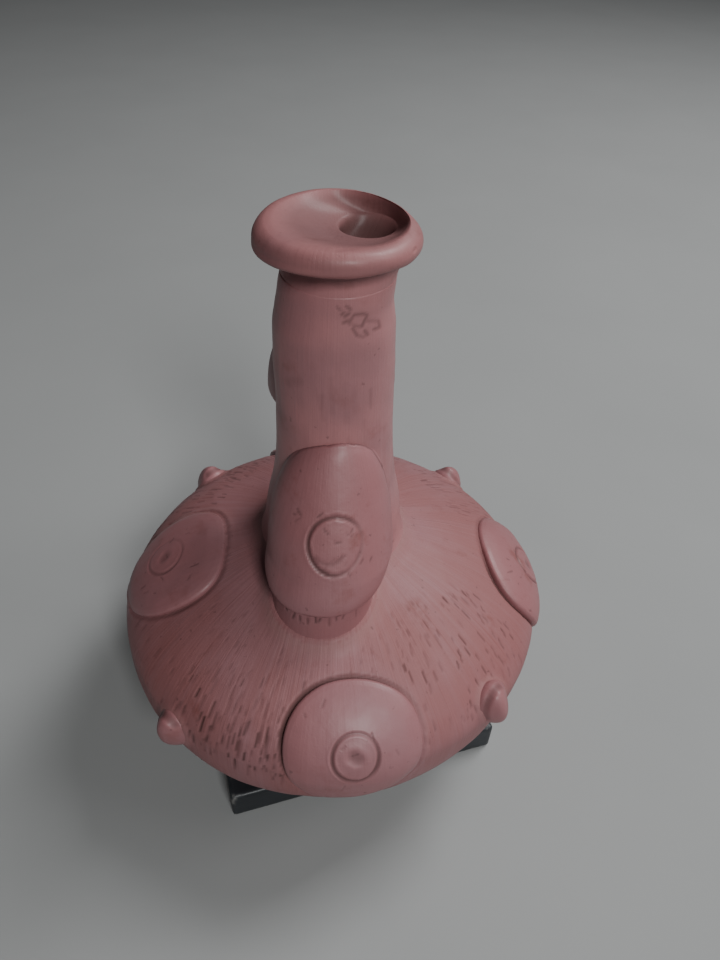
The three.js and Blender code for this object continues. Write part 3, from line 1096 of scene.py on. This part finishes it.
@dataclass
class Neck:
    """The tube of the neck in two lengths, of which the upper one is a little wider at the joint."""

    foot_radius: float = 22.6 * MM
    waist_radius: float = 19.9 * MM
    belly_radius: float = 19.5 * MM
    top_radius: float = 17.6 * MM
    sway: float = 0.5 * MM
    lean: float = 1.7 * MM
    lean_azimuth: float = 132.0
    steps: int = 240
    rows: int = 190
    low_z: float = field(init=False)
    joint_z: float = field(init=False)
    top_z: float = field(init=False)

    def __post_init__(self) -> None:
        """Takes the heights from the frame."""
        self.low_z, self.joint_z = (corner.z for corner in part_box("neck_lower"))
        self.top_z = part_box("neck_upper")[1].z

    def radius_at(self, height: float) -> float:
        """Gives the radius of the outside at a height.

        Args:
            height: The height.

        Returns:
            The radius.
        """
        lengths = (
            (self.low_z, self.foot_radius, (
                (-4.0, 8.6), (-1.8, 6.4), (0.6, 4.8), (3.6, 3.8), (7.0, 3.2), (15.0, 2.2), (20.0, 1.3))),
            (self.low_z, self.waist_radius, ((28.0, 2.2), (37.0, 1.1), (47.0, 0.3))),
            (self.joint_z, self.waist_radius, ((-22.0, -0.1), (-6.0, -0.1))),
            (self.joint_z, self.belly_radius, ((0.0, 0.0), (9.0, -0.3))),
            (self.top_z, self.top_radius, ((-4.0, 0.1), (0.0, 0.1), (4.0, -0.2))),
        )
        return curve([
            (level + up * MM, radius + out * MM) for level, radius, stops in lengths for up, out in stops
        ])(height)

    def sway_at(self, height: np.ndarray) -> np.ndarray:
        """Gives how far the neck, and the lip on it, bend to the left at each height."""
        return -self.sway * np.exp(-(((height - self.joint_z - 8 * MM) / (20 * MM)) ** 2))

    def build(self) -> Piece:
        """Models the neck.

        Returns:
            The piece.
        """
        heights = spread(self.rows, self.low_z - 4 * MM, self.top_z + 3 * MM)
        raw = np.array([self.radius_at(z) for z in heights])
        kernel = np.hanning(9)
        radii = np.convolve(np.pad(raw, 4, mode="edge"), kernel / kernel.sum(), mode="valid")
        outside = list(zip(radii.tolist(), heights))
        bore = (heights[-1], self.joint_z, self.joint_z - 40 * MM, heights[0])
        inside = [(BORE_RADIUS, z) for z in bore]
        shape = turn_outline("vessel_neck", [*outside, *inside, outside[0]], self.steps)
        points = points_of(shape)
        points[:, 0] += self.sway_at(points[:, 2])
        lean = self.lean * smooth_step(points[:, 2], self.top_z - 6 * MM, self.top_z + 9 * MM)
        shift_towards(points, self.lean_azimuth, lean)
        move_points(shape, points)
        knead(shape)
        engrave(shape, [*self.rubs(), *self.tool_marks()])
        return Piece(shape, Finish.HANDLED, ("neck_lower", "neck_upper"))

    def at(self, azimuth: float, height: float) -> Vector:
        """Gives the point of the outside at an azimuth, and a height in millimetres above the joint."""
        height = self.joint_z + height * MM
        return polar(azimuth, self.radius_at(height), height, float(self.sway_at(np.array(height))))

    def rubs(self) -> list[Mark]:
        """Draws the looped scrapes under the lip and the blots lower down.

        Returns:
            The marks.
        """
        loops = (
            ((-4.0, 22.4), (-1.0, 21.6), (3.0, 20.6), (1.0, 20.0)),
            ((5.0, 22.6), (9.0, 21.6), (8.0, 20.2), (4.0, 19.4)),
            ((3.0, 17.4), (7.0, 17.9), (9.0, 17.0)),
            ((22.0, 19.5), (13.0, 19.6), (9.0, 17.6), (13.0, 16.2), (21.0, 15.6), (24.0, 17.2)),
            ((22.0, 19.5), (27.0, 18.6), (24.0, 17.2), (31.0, 16.4), (40.0, 15.4), (42.0, 13.4),
             (34.0, 13.6)),
            ((12.0, 15.4), (16.0, 13.2), (22.0, 12.2), (27.0, 12.6), (24.0, 14.0)),
            ((150.0, 12.0), (157.0, 9.5), (166.0, 11.0), (160.0, 14.5)),
            ((-110.0, -12.0), (-104.0, -16.0), (-100.0, -22.0)),
        )
        blots = (
            ((-52.0, -6.5), (-38.0, -4.0), 2.2, 0.16),
            ((30.0, -7.0), (31.0, -14.0), 0.9, 0.22),
            ((-16.0, -7.0), (-17.0, -13.0), 0.9, 0.16),
            ((100.0, -30.0), (104.0, -38.0), 1.6, 0.2),
        )
        marks = []
        for loop in loops:
            points = [self.at(*point) for point in loop]
            marks += chain(
                points, 0.75 * MM, lambda share: 0.10 * MM, lambda share: 0.42 + 0.16 * math.sin(9 * share)
            )
        for start, end, width, stain in blots:
            marks.append(Mark(self.at(*start), self.at(*end), width * MM, 0.05 * MM, stain))
        return marks

    def tool_marks(self) -> list[Mark]:
        """Draws the faint upright marks of the burnishing stone.

        Returns:
            The marks.
        """
        draw = random.Random(11)
        marks = []
        for _ in range(60):
            azimuth = draw.uniform(0.0, 360.0)
            start = draw.uniform(-70.0, -12.0)
            end = start + draw.uniform(5.0, 18.0)
            width, depth = draw.uniform(0.8, 1.6) * MM, draw.uniform(0.03, 0.08) * MM
            ends = (self.at(azimuth, start), self.at(azimuth + draw.gauss(0.0, 2.0), end))
            marks.append(Mark(*ends, width, depth, draw.uniform(0.02, 0.10)))
        return marks


@dataclass
class Lip:
    """The flared collar with its rolled edge and the funnel that runs down to the right."""

    neck_radius: float = 17.4 * MM
    radius: float = 24.7 * MM
    roll: float = 3.5 * MM
    droop: float = 0.8 * MM
    edge_radius: float = 9.2 * MM
    funnel_depth: float = 5.8 * MM
    throat_radius: float = 7.2 * MM
    throat_offset: float = 12.8 * MM
    throat_azimuth: float = 132.0
    slant: tuple[float, float] = (6.5 * MM, 19 * MM)
    straightened: float = 0.85
    out_of_round: float = 0.010
    swell: float = 0.05
    tilt: float = 0.25 * MM
    funnel_shade: float = 0.62
    roll_shade: float = 0.30
    steps: int = 256
    root_z: float = field(init=False)
    top_z: float = field(init=False)

    def __post_init__(self) -> None:
        """Takes the heights from the frame."""
        low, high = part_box("lip")
        self.root_z, self.top_z = low.z - 2.0 * MM, high.z

    def sweep(self, handles: Sequence[Vector], count: int) -> Outline:
        """Draws a smooth sweep from the first of four handles to the last.

        Args:
            handles: The start, the two handles between, and the end.
            count: Number of points.

        Returns:
            Points of (radius, height).
        """
        start, first, second, end = handles
        points = []
        for t in spread(count, 0.0, 1.0):
            left = 1.0 - t
            point = start * left**3 + first * (3 * t * left**2) + second * (3 * t**2 * left) + end * t**3
            points.append((point.x, point.y))
        return points

    def outline(self) -> Outline:
        """Draws the collar's outline: up the flare, over the roll and down the funnel.

        Returns:
            Points of (radius, height).
        """
        centre = Vector((self.radius - self.roll, self.top_z - self.roll))
        under = centre.y - self.roll
        flare = self.sweep((
            Vector((self.neck_radius, self.root_z)),
            Vector((self.neck_radius, under - 1.5 * MM)),
            Vector((self.neck_radius, under - 0.2 * MM)),
            centre + self.roll * Vector((0.35, -0.94)),
        ), 40)
        roll = [
            (centre.x + self.roll * math.cos(a), centre.y + self.roll * math.sin(a))
            for a in spread(40, -1.12, 1.95)
        ]
        start = Vector(roll[-1])
        edge = Vector((self.edge_radius, start.y - self.funnel_depth))
        slope = self.sweep((
            start,
            start - Vector((3.0 * MM, 1.6 * MM)),
            edge + Vector((4.6 * MM, 1.6 * MM)),
            edge,
        ), 30)
        throat = self.sweep((
            edge,
            edge - Vector((1.9 * MM, 0.9 * MM)),
            Vector((self.throat_radius, edge.y - 5.5 * MM)),
            Vector((self.throat_radius, self.root_z)),
        ), 30)
        outline = [*flare, *roll[1:], *slope[1:], *throat[1:]]
        return [*outline, outline[0]]

    def build(self, neck: Neck) -> Piece:
        """Models the lip.

        Args:
            neck: The neck under it.

        Returns:
            The piece.
        """
        shape = turn_outline("vessel_lip", self.outline(), self.steps)
        points = points_of(shape)
        radius = np.hypot(points[:, 0], points[:, 1])
        depth = self.top_z - points[:, 2]
        slope_width = self.radius - self.roll - self.edge_radius
        inner = 1.0 - clamp((radius - self.edge_radius) / slope_width)
        offset = self.throat_offset * inner * (1.0 - self.straightened * smooth_step(depth, *self.slant))
        shift_towards(points, self.throat_azimuth, offset)
        turn = np.arctan2(points[:, 0], -points[:, 1])
        outer = smooth_step(radius, self.neck_radius, self.radius)
        swell = clamp(np.cos(turn + 0.9)) ** 2 * smooth_step(depth, self.roll, 1.8 * self.roll)
        wave = self.out_of_round * np.sin(2 * turn + 0.6) + self.swell * swell
        points[:, :2] *= (1.0 + outer * wave)[:, None]
        sag = self.tilt * np.sin(turn + 2.0) + self.droop * (np.cos(2 * turn) - 1.0)
        points[:, 2] += outer * sag
        points[:, 0] += neck.sway_at(points[:, 2])
        move_points(shape, points)
        knead(shape)
        engrave(shape, self.knocks())
        # Painted shade in the funnel and down the throat, and a little on the roll.
        record_trace(shape, Trace.INCISED, self.painted_funnel_shade(radius, depth))
        return Piece(shape, Finish.HANDLED, ("lip",))

    def painted_funnel_shade(self, radius: np.ndarray, depth: np.ndarray) -> np.ndarray:
        """Paints shade into the funnel, most of all down the throat, and a little onto the roll.

        Args:
            radius: The distances from the axis, before the funnel is pushed to the right.
            depth: The depths below the top.

        Returns:
            How dark each point is.
        """
        down = smooth_step(depth, 5.0 * MM, 10.0 * MM)
        mouth = 0.9 * self.neck_radius
        rolled = self.roll_shade * (1.0 - down)
        fade = smooth_step(radius, mouth, 1.15 * self.neck_radius)
        upper = np.where(depth < self.roll, rolled * fade + self.funnel_shade * (1.0 - fade), rolled)
        return np.where(radius < mouth, self.funnel_shade + 0.30 * down, upper)

    def on_top(self, azimuth: float, radius: float, drop: float) -> Vector:
        """Gives a point near the lip's upper side, from a radius and a drop in millimetres."""
        return polar(azimuth, radius * MM, self.top_z - drop * MM)

    def knocks(self) -> list[Mark]:
        """Draws the small chips, flecks and worn edges of the lip, and the dark band under its roll, partly
        dirt and partly painted shadow.

        Returns:
            The marks.
        """
        flecks = (
            ((-86.0, 14.2, 3.2), (-92.0, 12.6, 3.8), 1.0, 0.30, 0.70),
            ((-80.0, 12.6, 3.9), (-86.0, 11.6, 4.6), 0.8, 0.20, 0.55),
            ((-6.0, 20.4, 0.1), (6.0, 19.6, 0.1), 1.3, 0.10, 0.30),
            ((54.0, 24.4, 3.4), (57.0, 24.4, 3.2), 0.7, 0.30, 0.10),
            ((120.0, 22.6, 0.4), (128.0, 22.8, 0.4), 0.9, 0.22, 0.45),
            ((-150.0, 24.2, 2.4), (-144.0, 24.3, 2.8), 1.0, 0.24, 0.50),
            ((-24.0, 18.4, 13.0), (-17.0, 18.4, 13.0), 0.8, 0.70, 0.75),
            ((-6.0, 18.3, 15.2), (1.0, 18.3, 16.4), 0.9, 0.10, 0.35),
        )
        marks = [
            Mark(self.on_top(*start), self.on_top(*end), width * MM, depth * MM, stain)
            for start, end, width, depth, stain in flecks
        ]
        draw = random.Random(17)
        # The band under the roll: partly dirt, partly painted shadow of the roll, darker on the left.
        for azimuth in range(-110, 76, 7):
            start, end = (
                self.on_top(azimuth + step, 17.6, 10.6 + draw.uniform(-0.4, 0.9)) for step in (0.0, 8.0)
            )
            stain = 0.62 - 0.003 * (azimuth + 110)
            marks.append(Mark(start, end, draw.uniform(2.4, 3.2) * MM, 0.02 * MM, stain))
        for azimuth in range(-88, 2, 6):
            start, end = (
                self.on_top(azimuth + step, 24.3 + draw.uniform(-0.5, 0.4), 4.4 + draw.uniform(-1.0, 1.6))
                for step in (0.0, 7.0)
            )
            marks.append(Mark(start, end, draw.uniform(1.2, 2.1) * MM, 0.04 * MM, draw.uniform(0.15, 0.34)))
        return marks


@dataclass
class Lobe:
    """A lobe on the side of the neck, leaning back to it, with an incised ring."""

    node: str
    turn: float
    radius: float
    low_z: float
    widest_z: float
    top_z: float
    reach: float
    top_reach: float
    stem_radius: float
    ring_drop: float
    seed: int
    stem_shift: float = 0.0
    shift: float = 0.0
    top_shift: float = 0.0
    root_z: float | None = None
    lean: float = 1.9
    fullness: float = 2.1
    top_depth: float = 0.5
    taper: float = 24 * MM
    foot_radius: float = 19.5 * MM
    ring_radius: float = 8.9 * MM
    ring_stretch: float = 0.94
    steps: int = 230
    rows: int = 96

    def radius_at(self, height: float) -> float:
        """Gives half of the lobe's width at a height.

        Args:
            height: The height.

        Returns:
            Half of the width of the lobe, or of the stem below it.
        """
        if height >= self.widest_z:
            part = min(1.0, (height - self.widest_z) / (self.top_z - self.widest_z))
            return self.radius * (1.0 - part**self.fullness) ** (1.0 / self.fullness)
        if height < self.low_z and self.root_z is not None:
            drop = (self.low_z - height) / (self.low_z - self.root_z)
            return self.stem_radius + (self.foot_radius - self.stem_radius) * drop**1.6
        part = max(0.0, (self.widest_z - height) / (self.widest_z - self.low_z))
        swell = self.radius - self.stem_radius
        return self.stem_radius + swell * math.sqrt(max(0.0, 1.0 - part**2.4))

    def reach_at(self, height: np.ndarray) -> np.ndarray:
        """Gives how far the lobe's axis stands out from the neck's at each height."""
        part = clamp((self.top_z - height) / (self.top_z - self.low_z))
        return self.top_reach + (self.reach - self.top_reach) * part**self.lean

    def depth_at(self, height: np.ndarray) -> np.ndarray:
        """Gives the depth of the lobe's section over its width at each height."""
        return self.top_depth + (1.0 - self.top_depth) * smooth_step(self.top_z - height, 0.0, self.taper)

    def shift_at(self, height: np.ndarray) -> np.ndarray:
        """Gives how far the lobe stands off to the left at each height.

        Args:
            height: The heights.

        Returns:
            The distances to the left.
        """
        low = clamp((self.widest_z - height) / (self.widest_z - self.low_z))
        high = clamp((height - self.widest_z) / (self.top_z - self.widest_z))
        return self.shift + self.stem_shift * low - self.top_shift * high**3

    def outline(self) -> Outline:
        """Draws the lobe's outline from its lower end up to its top.

        Returns:
            Points of (radius, height).
        """
        rise, fall = self.top_z - self.widest_z, self.widest_z - self.low_z
        upper = [self.widest_z + rise * math.sin(a) for a in spread(self.rows, 0.0, math.pi / 2)]
        lower = [self.low_z + fall * (1.0 - math.cos(a)) for a in spread(20, 0.05, math.pi / 2)]
        stem, end_z = [], self.low_z
        if self.root_z is not None:
            stem, end_z = spread(26, self.root_z, self.low_z - 0.1 * MM), self.root_z
        return [(0.0, end_z), *((self.radius_at(z), z) for z in [*stem, *lower[:-1], *upper])]

    def front(self, across: float, height: float) -> Vector:
        """Gives the point of the lobe's front at a distance from its middle line and a height.

        Args:
            across: The distance to the right.
            height: The height.

        Returns:
            The point.
        """
        half = self.radius_at(height)
        depth = math.sqrt(max(half**2 - across**2, 0.0)) * float(self.depth_at(height))
        side = across - float(self.shift_at(height))
        return turned(self.turn) @ Vector((side, -float(self.reach_at(height)) - depth, height))

    def stem_centre(self) -> Vector:
        """Gives the middle of the stem, seen from above."""
        return turned(self.turn) @ Vector((-self.shift - self.stem_shift, -self.reach, 0.0))

    def ring_marks(self) -> list[Mark]:
        """Draws the ring, deep on its left and fading on its right, and the specks round it.

        Returns:
            The marks.
        """
        centre = self.top_z - self.ring_drop
        middle = self.shift - 0.7 * MM
        ring = [
            self.front(
                middle + self.ring_radius * math.cos(a),
                centre + self.ring_radius * self.ring_stretch * math.sin(a),
            )
            for a in spread(73, 0.0, math.tau)
        ]
        depth = curve((
            (0.0, 0.12), (0.1, 0.30), (0.16, 0.5), (0.3, 0.6), (0.5, 0.8), (0.68, 0.75),
            (0.78, 0.45), (0.86, 0.2), (0.92, 0.35), (1.0, 0.12),
        ))
        marks = chain(ring, RING_WIDTH, lambda t: depth(t) * MM, lambda t: min(0.85, depth(t) * 1.2))
        smudge = [
            self.front((-1.0 + 4.5 * math.cos(a)) * MM, centre - 2.8 * MM + 2.2 * MM * math.sin(a))
            for a in spread(9, math.pi * 1.1, math.tau * 0.95)
        ]
        marks += chain(smudge, 1.0 * MM, lambda t: 0.12 * MM, lambda t: 0.3)
        draw = random.Random(self.seed)
        for _ in range(18):
            across = draw.uniform(-14.0, 14.0) * MM
            height = draw.uniform(self.widest_z, centre + 10 * MM)
            end = self.front(across + draw.gauss(0, 1) * MM, height + draw.uniform(0.4, 2.0) * MM)
            marks.append(Mark(self.front(across, height), end, 0.5 * MM, 0.14 * MM, draw.uniform(0.2, 0.65)))
        return marks

    def crease_marks(self, neck: Neck) -> list[Mark]:
        """Draws the crease where the lobe's arch was pressed against the neck.

        Args:
            neck: The neck.

        Returns:
            The marks.
        """
        levels = spread(30, self.low_z + 20 * MM, self.top_z - 0.6 * MM)
        left, right = (
            [point for level in levels if (point := self.meeting(neck, side, level)) is not None]
            for side in (-1.0, 1.0)
        )
        dark = curve(((0.0, 0.05), (0.3, 0.45), (0.6, 0.75), (0.8, 0.45), (0.92, 0.5), (1.0, 0.75)))
        faint = curve(((0.0, 0.0), (0.6, 0.0), (0.85, 0.3), (1.0, 0.75)))
        return [
            *chain(right, 0.9 * MM, lambda t: (0.15 + 0.25 * dark(t)) * MM, dark),
            *chain(left, 0.9 * MM, lambda t: 0.35 * faint(t) * MM, faint),
            Mark(left[-1], right[-1], 1.0 * MM, 0.45 * MM, 0.7),
        ]

    def meeting(self, neck: Neck, side: float, height: float) -> Vector | None:
        """Finds where the lobe's flank goes into the neck.

        Args:
            neck: The neck.
            side: -1 for the left flank and 1 for the right one.
            height: The height to look at.

        Returns:
            The point, or nothing where the whole front is inside the neck.
        """
        half = self.radius_at(height)
        clear = [
            point
            for share in spread(90, 0.0, 0.999)
            if (point := self.front(side * half * share, height)).xy.length > neck.radius_at(height)
        ]
        return clear[-1] if clear else None

    def rim_marks(self) -> list[Mark]:
        """Draws the broken line of the rim under the lobe, and the few strokes on the stem below it.

        Returns:
            The marks.
        """
        draw = random.Random(self.seed + 3)
        rim_z = self.low_z + 0.6 * MM
        rim = [self.front(x * MM, rim_z + draw.uniform(-0.3, 0.3) * MM) for x in spread(27, -19.0, 17.0)]
        marks = chain(rim, 0.7 * MM, lambda t: 0.35 * MM, lambda t: draw.choice((0.25, 0.4, 0.8)))
        for across in (-12.0, -9.5, -8.0, -5.0, -2.5, -1.0, 2.0, 4.0, 6.5, 10.0):
            across = (across + draw.gauss(0.0, 0.4)) * MM
            top = self.low_z - draw.uniform(0.5, 2.5) * MM
            end = self.front(across + draw.gauss(0.0, 0.3) * MM, top - draw.uniform(1.0, 3.6) * MM)
            marks.append(Mark(self.front(across, top), end, 0.55 * MM, 0.3 * MM, draw.uniform(0.4, 0.85)))
        return marks

    def build(self, neck: Neck) -> Piece:
        """Models the lobe.

        Args:
            neck: The neck behind it.

        Returns:
            The piece.
        """
        shape = turn_outline(self.node.replace("boss", "lobe"), self.outline(), self.steps)
        points = points_of(shape)
        height = points[:, 2]
        points[:, 0] -= self.shift_at(height)
        points[:, 1] = points[:, 1] * self.depth_at(height) - self.reach_at(height)
        move_points(shape, points @ np.array(turned(self.turn)).T)
        knead(shape)
        marks = self.ring_marks()
        if self.root_z is not None:
            marks += self.crease_marks(neck) + self.rim_marks()
        engrave(shape, marks)
        return Piece(shape, Finish.SMOOTH, (self.node,))


# The plinth


@dataclass
class Plinth:
    """The square block, with softened and knocked arrises."""

    turn: float = 11.5
    soften: float = 1.1 * MM
    cell: float = 0.8 * MM

    def build(self) -> Piece:
        """Models the block.

        Returns:
            The piece.
        """
        low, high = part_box("plinth")
        angle = math.radians(self.turn)
        side = (high.x - low.x) / (math.cos(angle) + math.sin(angle))
        height = high.z - low.z
        deselect_all()
        bpy.ops.mesh.primitive_cube_add(size=1.0)
        shape = bpy.context.object
        shape.name = shape.data.name = "plinth_block"
        bpy.ops.object.mode_set(mode="EDIT")
        bpy.ops.transform.resize(value=(side, side, height))
        bpy.ops.transform.translate(value=(0.0, 0.0, height / 2.0))
        bpy.ops.mesh.bevel(offset=self.soften, segments=3, affect="EDGES")
        bpy.ops.object.mode_set(mode="OBJECT")
        activate(shape)
        apply_modifier(shape, "REMESH", mode="VOXEL", voxel_size=self.cell)
        points = points_of(shape)
        to_sides = side / 2.0 - np.abs(points[:, :2])
        to_ends = np.minimum(points[:, 2], height - points[:, 2])[:, None]
        nearness = np.sort(np.hstack([to_sides, to_ends]), axis=-1)
        move_points(shape, points @ np.array(turned(self.turn)).T)
        record_trace(shape, Trace.CREST, 1.0 - smooth_step(nearness[:, 1], 0.2 * MM, 2.6 * MM))
        engrave(shape, self.knocks(side / 2.0, height))
        return Piece(shape, Finish.BLACK_WOOD, ("plinth",), Body.PLINTH, Slot.BLACK_WOOD)

    def knocks(self, half: float, height: float) -> list[Mark]:
        """Scatters small knocks along the arrises.

        Args:
            half: Half of the block's side.
            height: The block's height.

        Returns:
            The marks.
        """
        draw = random.Random(5)
        marks = []
        for _ in range(44):
            along = draw.uniform(-half, half)
            corner = draw.choice([(along, -half), (along, half), (-half, along), (half, along)])
            level = height if draw.random() < 0.75 else 0.0
            start = turned(self.turn) @ Vector((*corner, level))
            end = start + Vector((draw.gauss(0, 1.2), draw.gauss(0, 1.2), 0.0)) * MM
            marks.append(Mark(start, end, draw.uniform(0.8, 1.7) * MM, draw.uniform(0.2, 0.6) * MM, 0.0))
        return marks


# The setting


@dataclass(frozen=True)
class Viewpoint:
    """The camera, where the photograph was taken from."""

    place: tuple[float, float, float] = (-0.01817, -0.21252, 0.31614)
    heading: float = 7.5
    pitch: float = 42.27
    roll: float = 2.704
    lens: float = 29.25
    sensor: float = 36.0

    def make(self) -> None:
        """Makes the camera."""
        data = bpy.data.cameras.new("camera")
        data.lens = self.lens
        data.sensor_width = self.sensor
        data.clip_start = 0.01
        camera = bpy.data.objects.new("camera", data)
        bpy.context.scene.collection.objects.link(camera)
        heading, pitch, roll = (math.radians(a) for a in (self.heading, self.pitch, self.roll))
        level = Vector((math.sin(heading), math.cos(heading), 0.0))
        ahead = level * math.cos(pitch) - Vector((0.0, 0.0, math.sin(pitch)))
        right = Vector((math.cos(heading), -math.sin(heading), 0.0))
        upward = right.cross(ahead)
        rolled_right = right * math.cos(roll) + upward * math.sin(roll)
        rolled_up = upward * math.cos(roll) - right * math.sin(roll)
        turn = Matrix((rolled_right, rolled_up, -ahead)).transposed().to_4x4()
        camera.matrix_world = Matrix.Translation(self.place) @ turn
        bpy.context.scene.camera = camera


@dataclass(frozen=True)
class Softbox:
    """A square area light that faces the bottle."""

    name: str
    place: tuple[float, float, float]
    size: float
    power: float
    colour: tuple[float, float, float] = (0.98, 1.0, 1.0)
    aim: tuple[float, float, float] = (0.0, 0.0, 0.09)

    def make(self) -> None:
        """Makes the light."""
        data = bpy.data.lights.new(self.name, "AREA")
        data.size = self.size
        data.energy = self.power
        data.color = self.colour
        light = bpy.data.objects.new(self.name, data)
        bpy.context.scene.collection.objects.link(light)
        ahead = Vector(self.aim) - Vector(self.place)
        light.rotation_euler = ahead.to_track_quat("-Z", "Y").to_euler()
        light.location = self.place


def make_floor(material: bpy.types.Material) -> None:
    """Lays the floor.

    Args:
        material: The floor's finish.
    """
    deselect_all()
    bpy.ops.mesh.primitive_plane_add(size=6.0)
    floor = bpy.context.object
    floor.name = "floor"
    floor.data.materials.append(material)


def make_sky(strength: float) -> None:
    """Fills the room with even light.

    Args:
        strength: How bright it is.
    """
    world = bpy.data.worlds.new("room")
    world.use_nodes = True
    background = world.node_tree.nodes["Background"]
    background.inputs["Color"].default_value = (0.95, 0.98, 1.0, 1.0)
    background.inputs["Strength"].default_value = strength
    bpy.context.scene.world = world


def make_setting() -> None:
    """Makes the camera, the lights and the floor."""
    Viewpoint().make()
    Softbox("key", place=(0.82, 0.45, 1.30), size=0.60, power=16.5, colour=(0.98, 0.99, 1.0)).make()
    Softbox("side", place=(1.10, -0.30, 1.10), size=0.50, power=3.5).make()
    Softbox("front", place=(0.28, -1.12, 1.10), size=0.36, power=12.0).make()
    make_sky(0.045)
    make_floor(FloorFinish().make())


def make_finishes() -> dict[Finish, bpy.types.Material]:
    """Makes the materials of the pieces.

    Returns:
        The material of each finish.
    """
    clays = (
        ClayFinish(Finish.SCORED, brushing=1.0, roughness=0.58, coat=0.05),
        # Pads and lobes: a lighter copy of the clay, as painted sheen.
        ClayFinish(Finish.SMOOTH, brushing=0.25, body=(0.318, 0.127, 0.134, 1.0)),
        # Neck and lip: a much lighter copy of the clay as painted light, and painted shade towards the top.
        ClayFinish(
            Finish.HANDLED, brushing=0.35, top_shade_strength=0.12, body=(0.470, 0.196, 0.200, 1.0), roughness=0.44
        ),
    )
    return {clay.finish: clay.make() for clay in clays} | {Finish.BLACK_WOOD: BlackWoodFinish().make()}


def make_pads() -> list[Pad]:
    """Sets out the four pads round the shoulder.

    Returns:
        The pads.
    """
    return [
        Pad(
            "disc_front", azimuth=1.2, rise=9 * MM, seed=21,
            groove=(
                (0, 0.1), (30, 0.25), (60, 0.6), (100, 0.75), (180, 0.95),
                (225, 0.7), (260, 0.1), (360, 0.1),
            ),
            ring_depth=(
                (0, 0.55), (50, 0.25), (90, 0.3), (150, 0.6), (210, 0.65),
                (270, 0.5), (320, 0.8), (360, 0.55),
            ),
            dimple=0.45 * MM,
        ),
        Pad(
            "disc_right", azimuth=88.0, rise=10 * MM, seed=22,
            groove=(
                (0, 0.1), (90, 0.35), (130, 0.9), (185, 1.0), (215, 0.7),
                (250, 0.3), (300, 0.1), (360, 0.1),
            ),
            ring_depth=(
                (0, 0.4), (120, 0.7), (200, 0.6), (300, 0.2), (360, 0.4),
            ),
            dimple=0.4 * MM,
        ),
        Pad(
            "disc_back", azimuth=180.0, rise=10 * MM, seed=23,
            groove=(
                (0, 0.6), (60, 0.3), (120, 0.1), (200, 0.2), (260, 0.5), (320, 0.7), (360, 0.6),
            ),
            ring_depth=(
                (0, 0.3), (90, 0.6), (200, 0.5), (280, 0.25), (360, 0.3),
            ),
            dimple=0.45 * MM,
        ),
        Pad(
            "disc_left", azimuth=-89.0, rise=23 * MM, seed=24,
            groove=(
                (0, 0.6), (40, 0.35), (90, 0.15), (180, 0.05), (290, 0.05), (330, 0.3), (360, 0.6),
            ),
            ring_depth=(
                (0, 0.45), (60, 0.2), (120, 0.12), (240, 0.12), (320, 0.3), (360, 0.45),
            ),
            dimple=0.25 * MM,
        ),
    ]


def make_lobes(vessel: Vessel) -> tuple[Lobe, Lobe]:
    """Sets out the lobe that stands on the dome in front and the one high on the neck behind.

    Args:
        vessel: The body under them.

    Returns:
        The front lobe and the rear one.
    """
    ground_z = vessel.equator_z + vessel.dome_rise(49 * MM)
    crown_z = vessel.equator_z + vessel.dome_height
    front = Lobe(
        "boss_front", turn=-3.0, radius=22.0 * MM,
        low_z=ground_z + 14 * MM, widest_z=ground_z + 24.5 * MM, top_z=ground_z + 66.8 * MM,
        reach=31.5 * MM, top_reach=16.2 * MM, stem_radius=17.5 * MM, ring_drop=29.2 * MM, seed=41,
        stem_shift=2.7 * MM, shift=1.7 * MM, top_shift=3.0 * MM, root_z=ground_z - 4 * MM,
        lean=2.5, fullness=2.0, top_depth=0.72, taper=40 * MM,
    )
    rear = Lobe(
        "boss_rear", turn=181.0, radius=22.0 * MM,
        low_z=crown_z + 46 * MM, widest_z=crown_z + 56 * MM, top_z=crown_z + 90 * MM,
        reach=16 * MM, top_reach=8 * MM, stem_radius=1.0 * MM, ring_drop=22 * MM, seed=42,
    )
    return front, rear


def main() -> None:
    """Builds the setting and every piece of the bottle."""
    logging.basicConfig(level=logging.INFO, format="%(relativeCreated)6d ms  %(message)s")
    make_setting()
    finishes = make_finishes()
    vessel = Vessel()
    neck = Neck()
    pads = make_pads()
    front_lobe, rear_lobe = make_lobes(vessel)
    lugs = [
        Lug("nub_front_right", azimuth=41.5, rise=5 * MM, tilt=15.0, seed=31),
        Lug("nub_front_left", azimuth=-47.0, rise=-4 * MM, tilt=0.0, seed=32),
        Lug("nub_back_right", azimuth=132.0, rise=10.5 * MM, tilt=30.0, seed=33),
        Lug("nub_back_left", azimuth=-139.0, rise=10.5 * MM, tilt=30.0, seed=34),
    ]
    pieces = [
        vessel.build(pads, lugs, front_lobe),
        neck.build(),
        Lip().build(neck),
        front_lobe.build(neck),
        rear_lobe.build(neck),
        *[pad.build(vessel) for pad in pads],
        *[lug.build(vessel) for lug in lugs],
        Plinth().build(),
    ]
    for piece in pieces:
        piece.place(finishes[piece.finish])


if __name__ == "__main__":
    main()
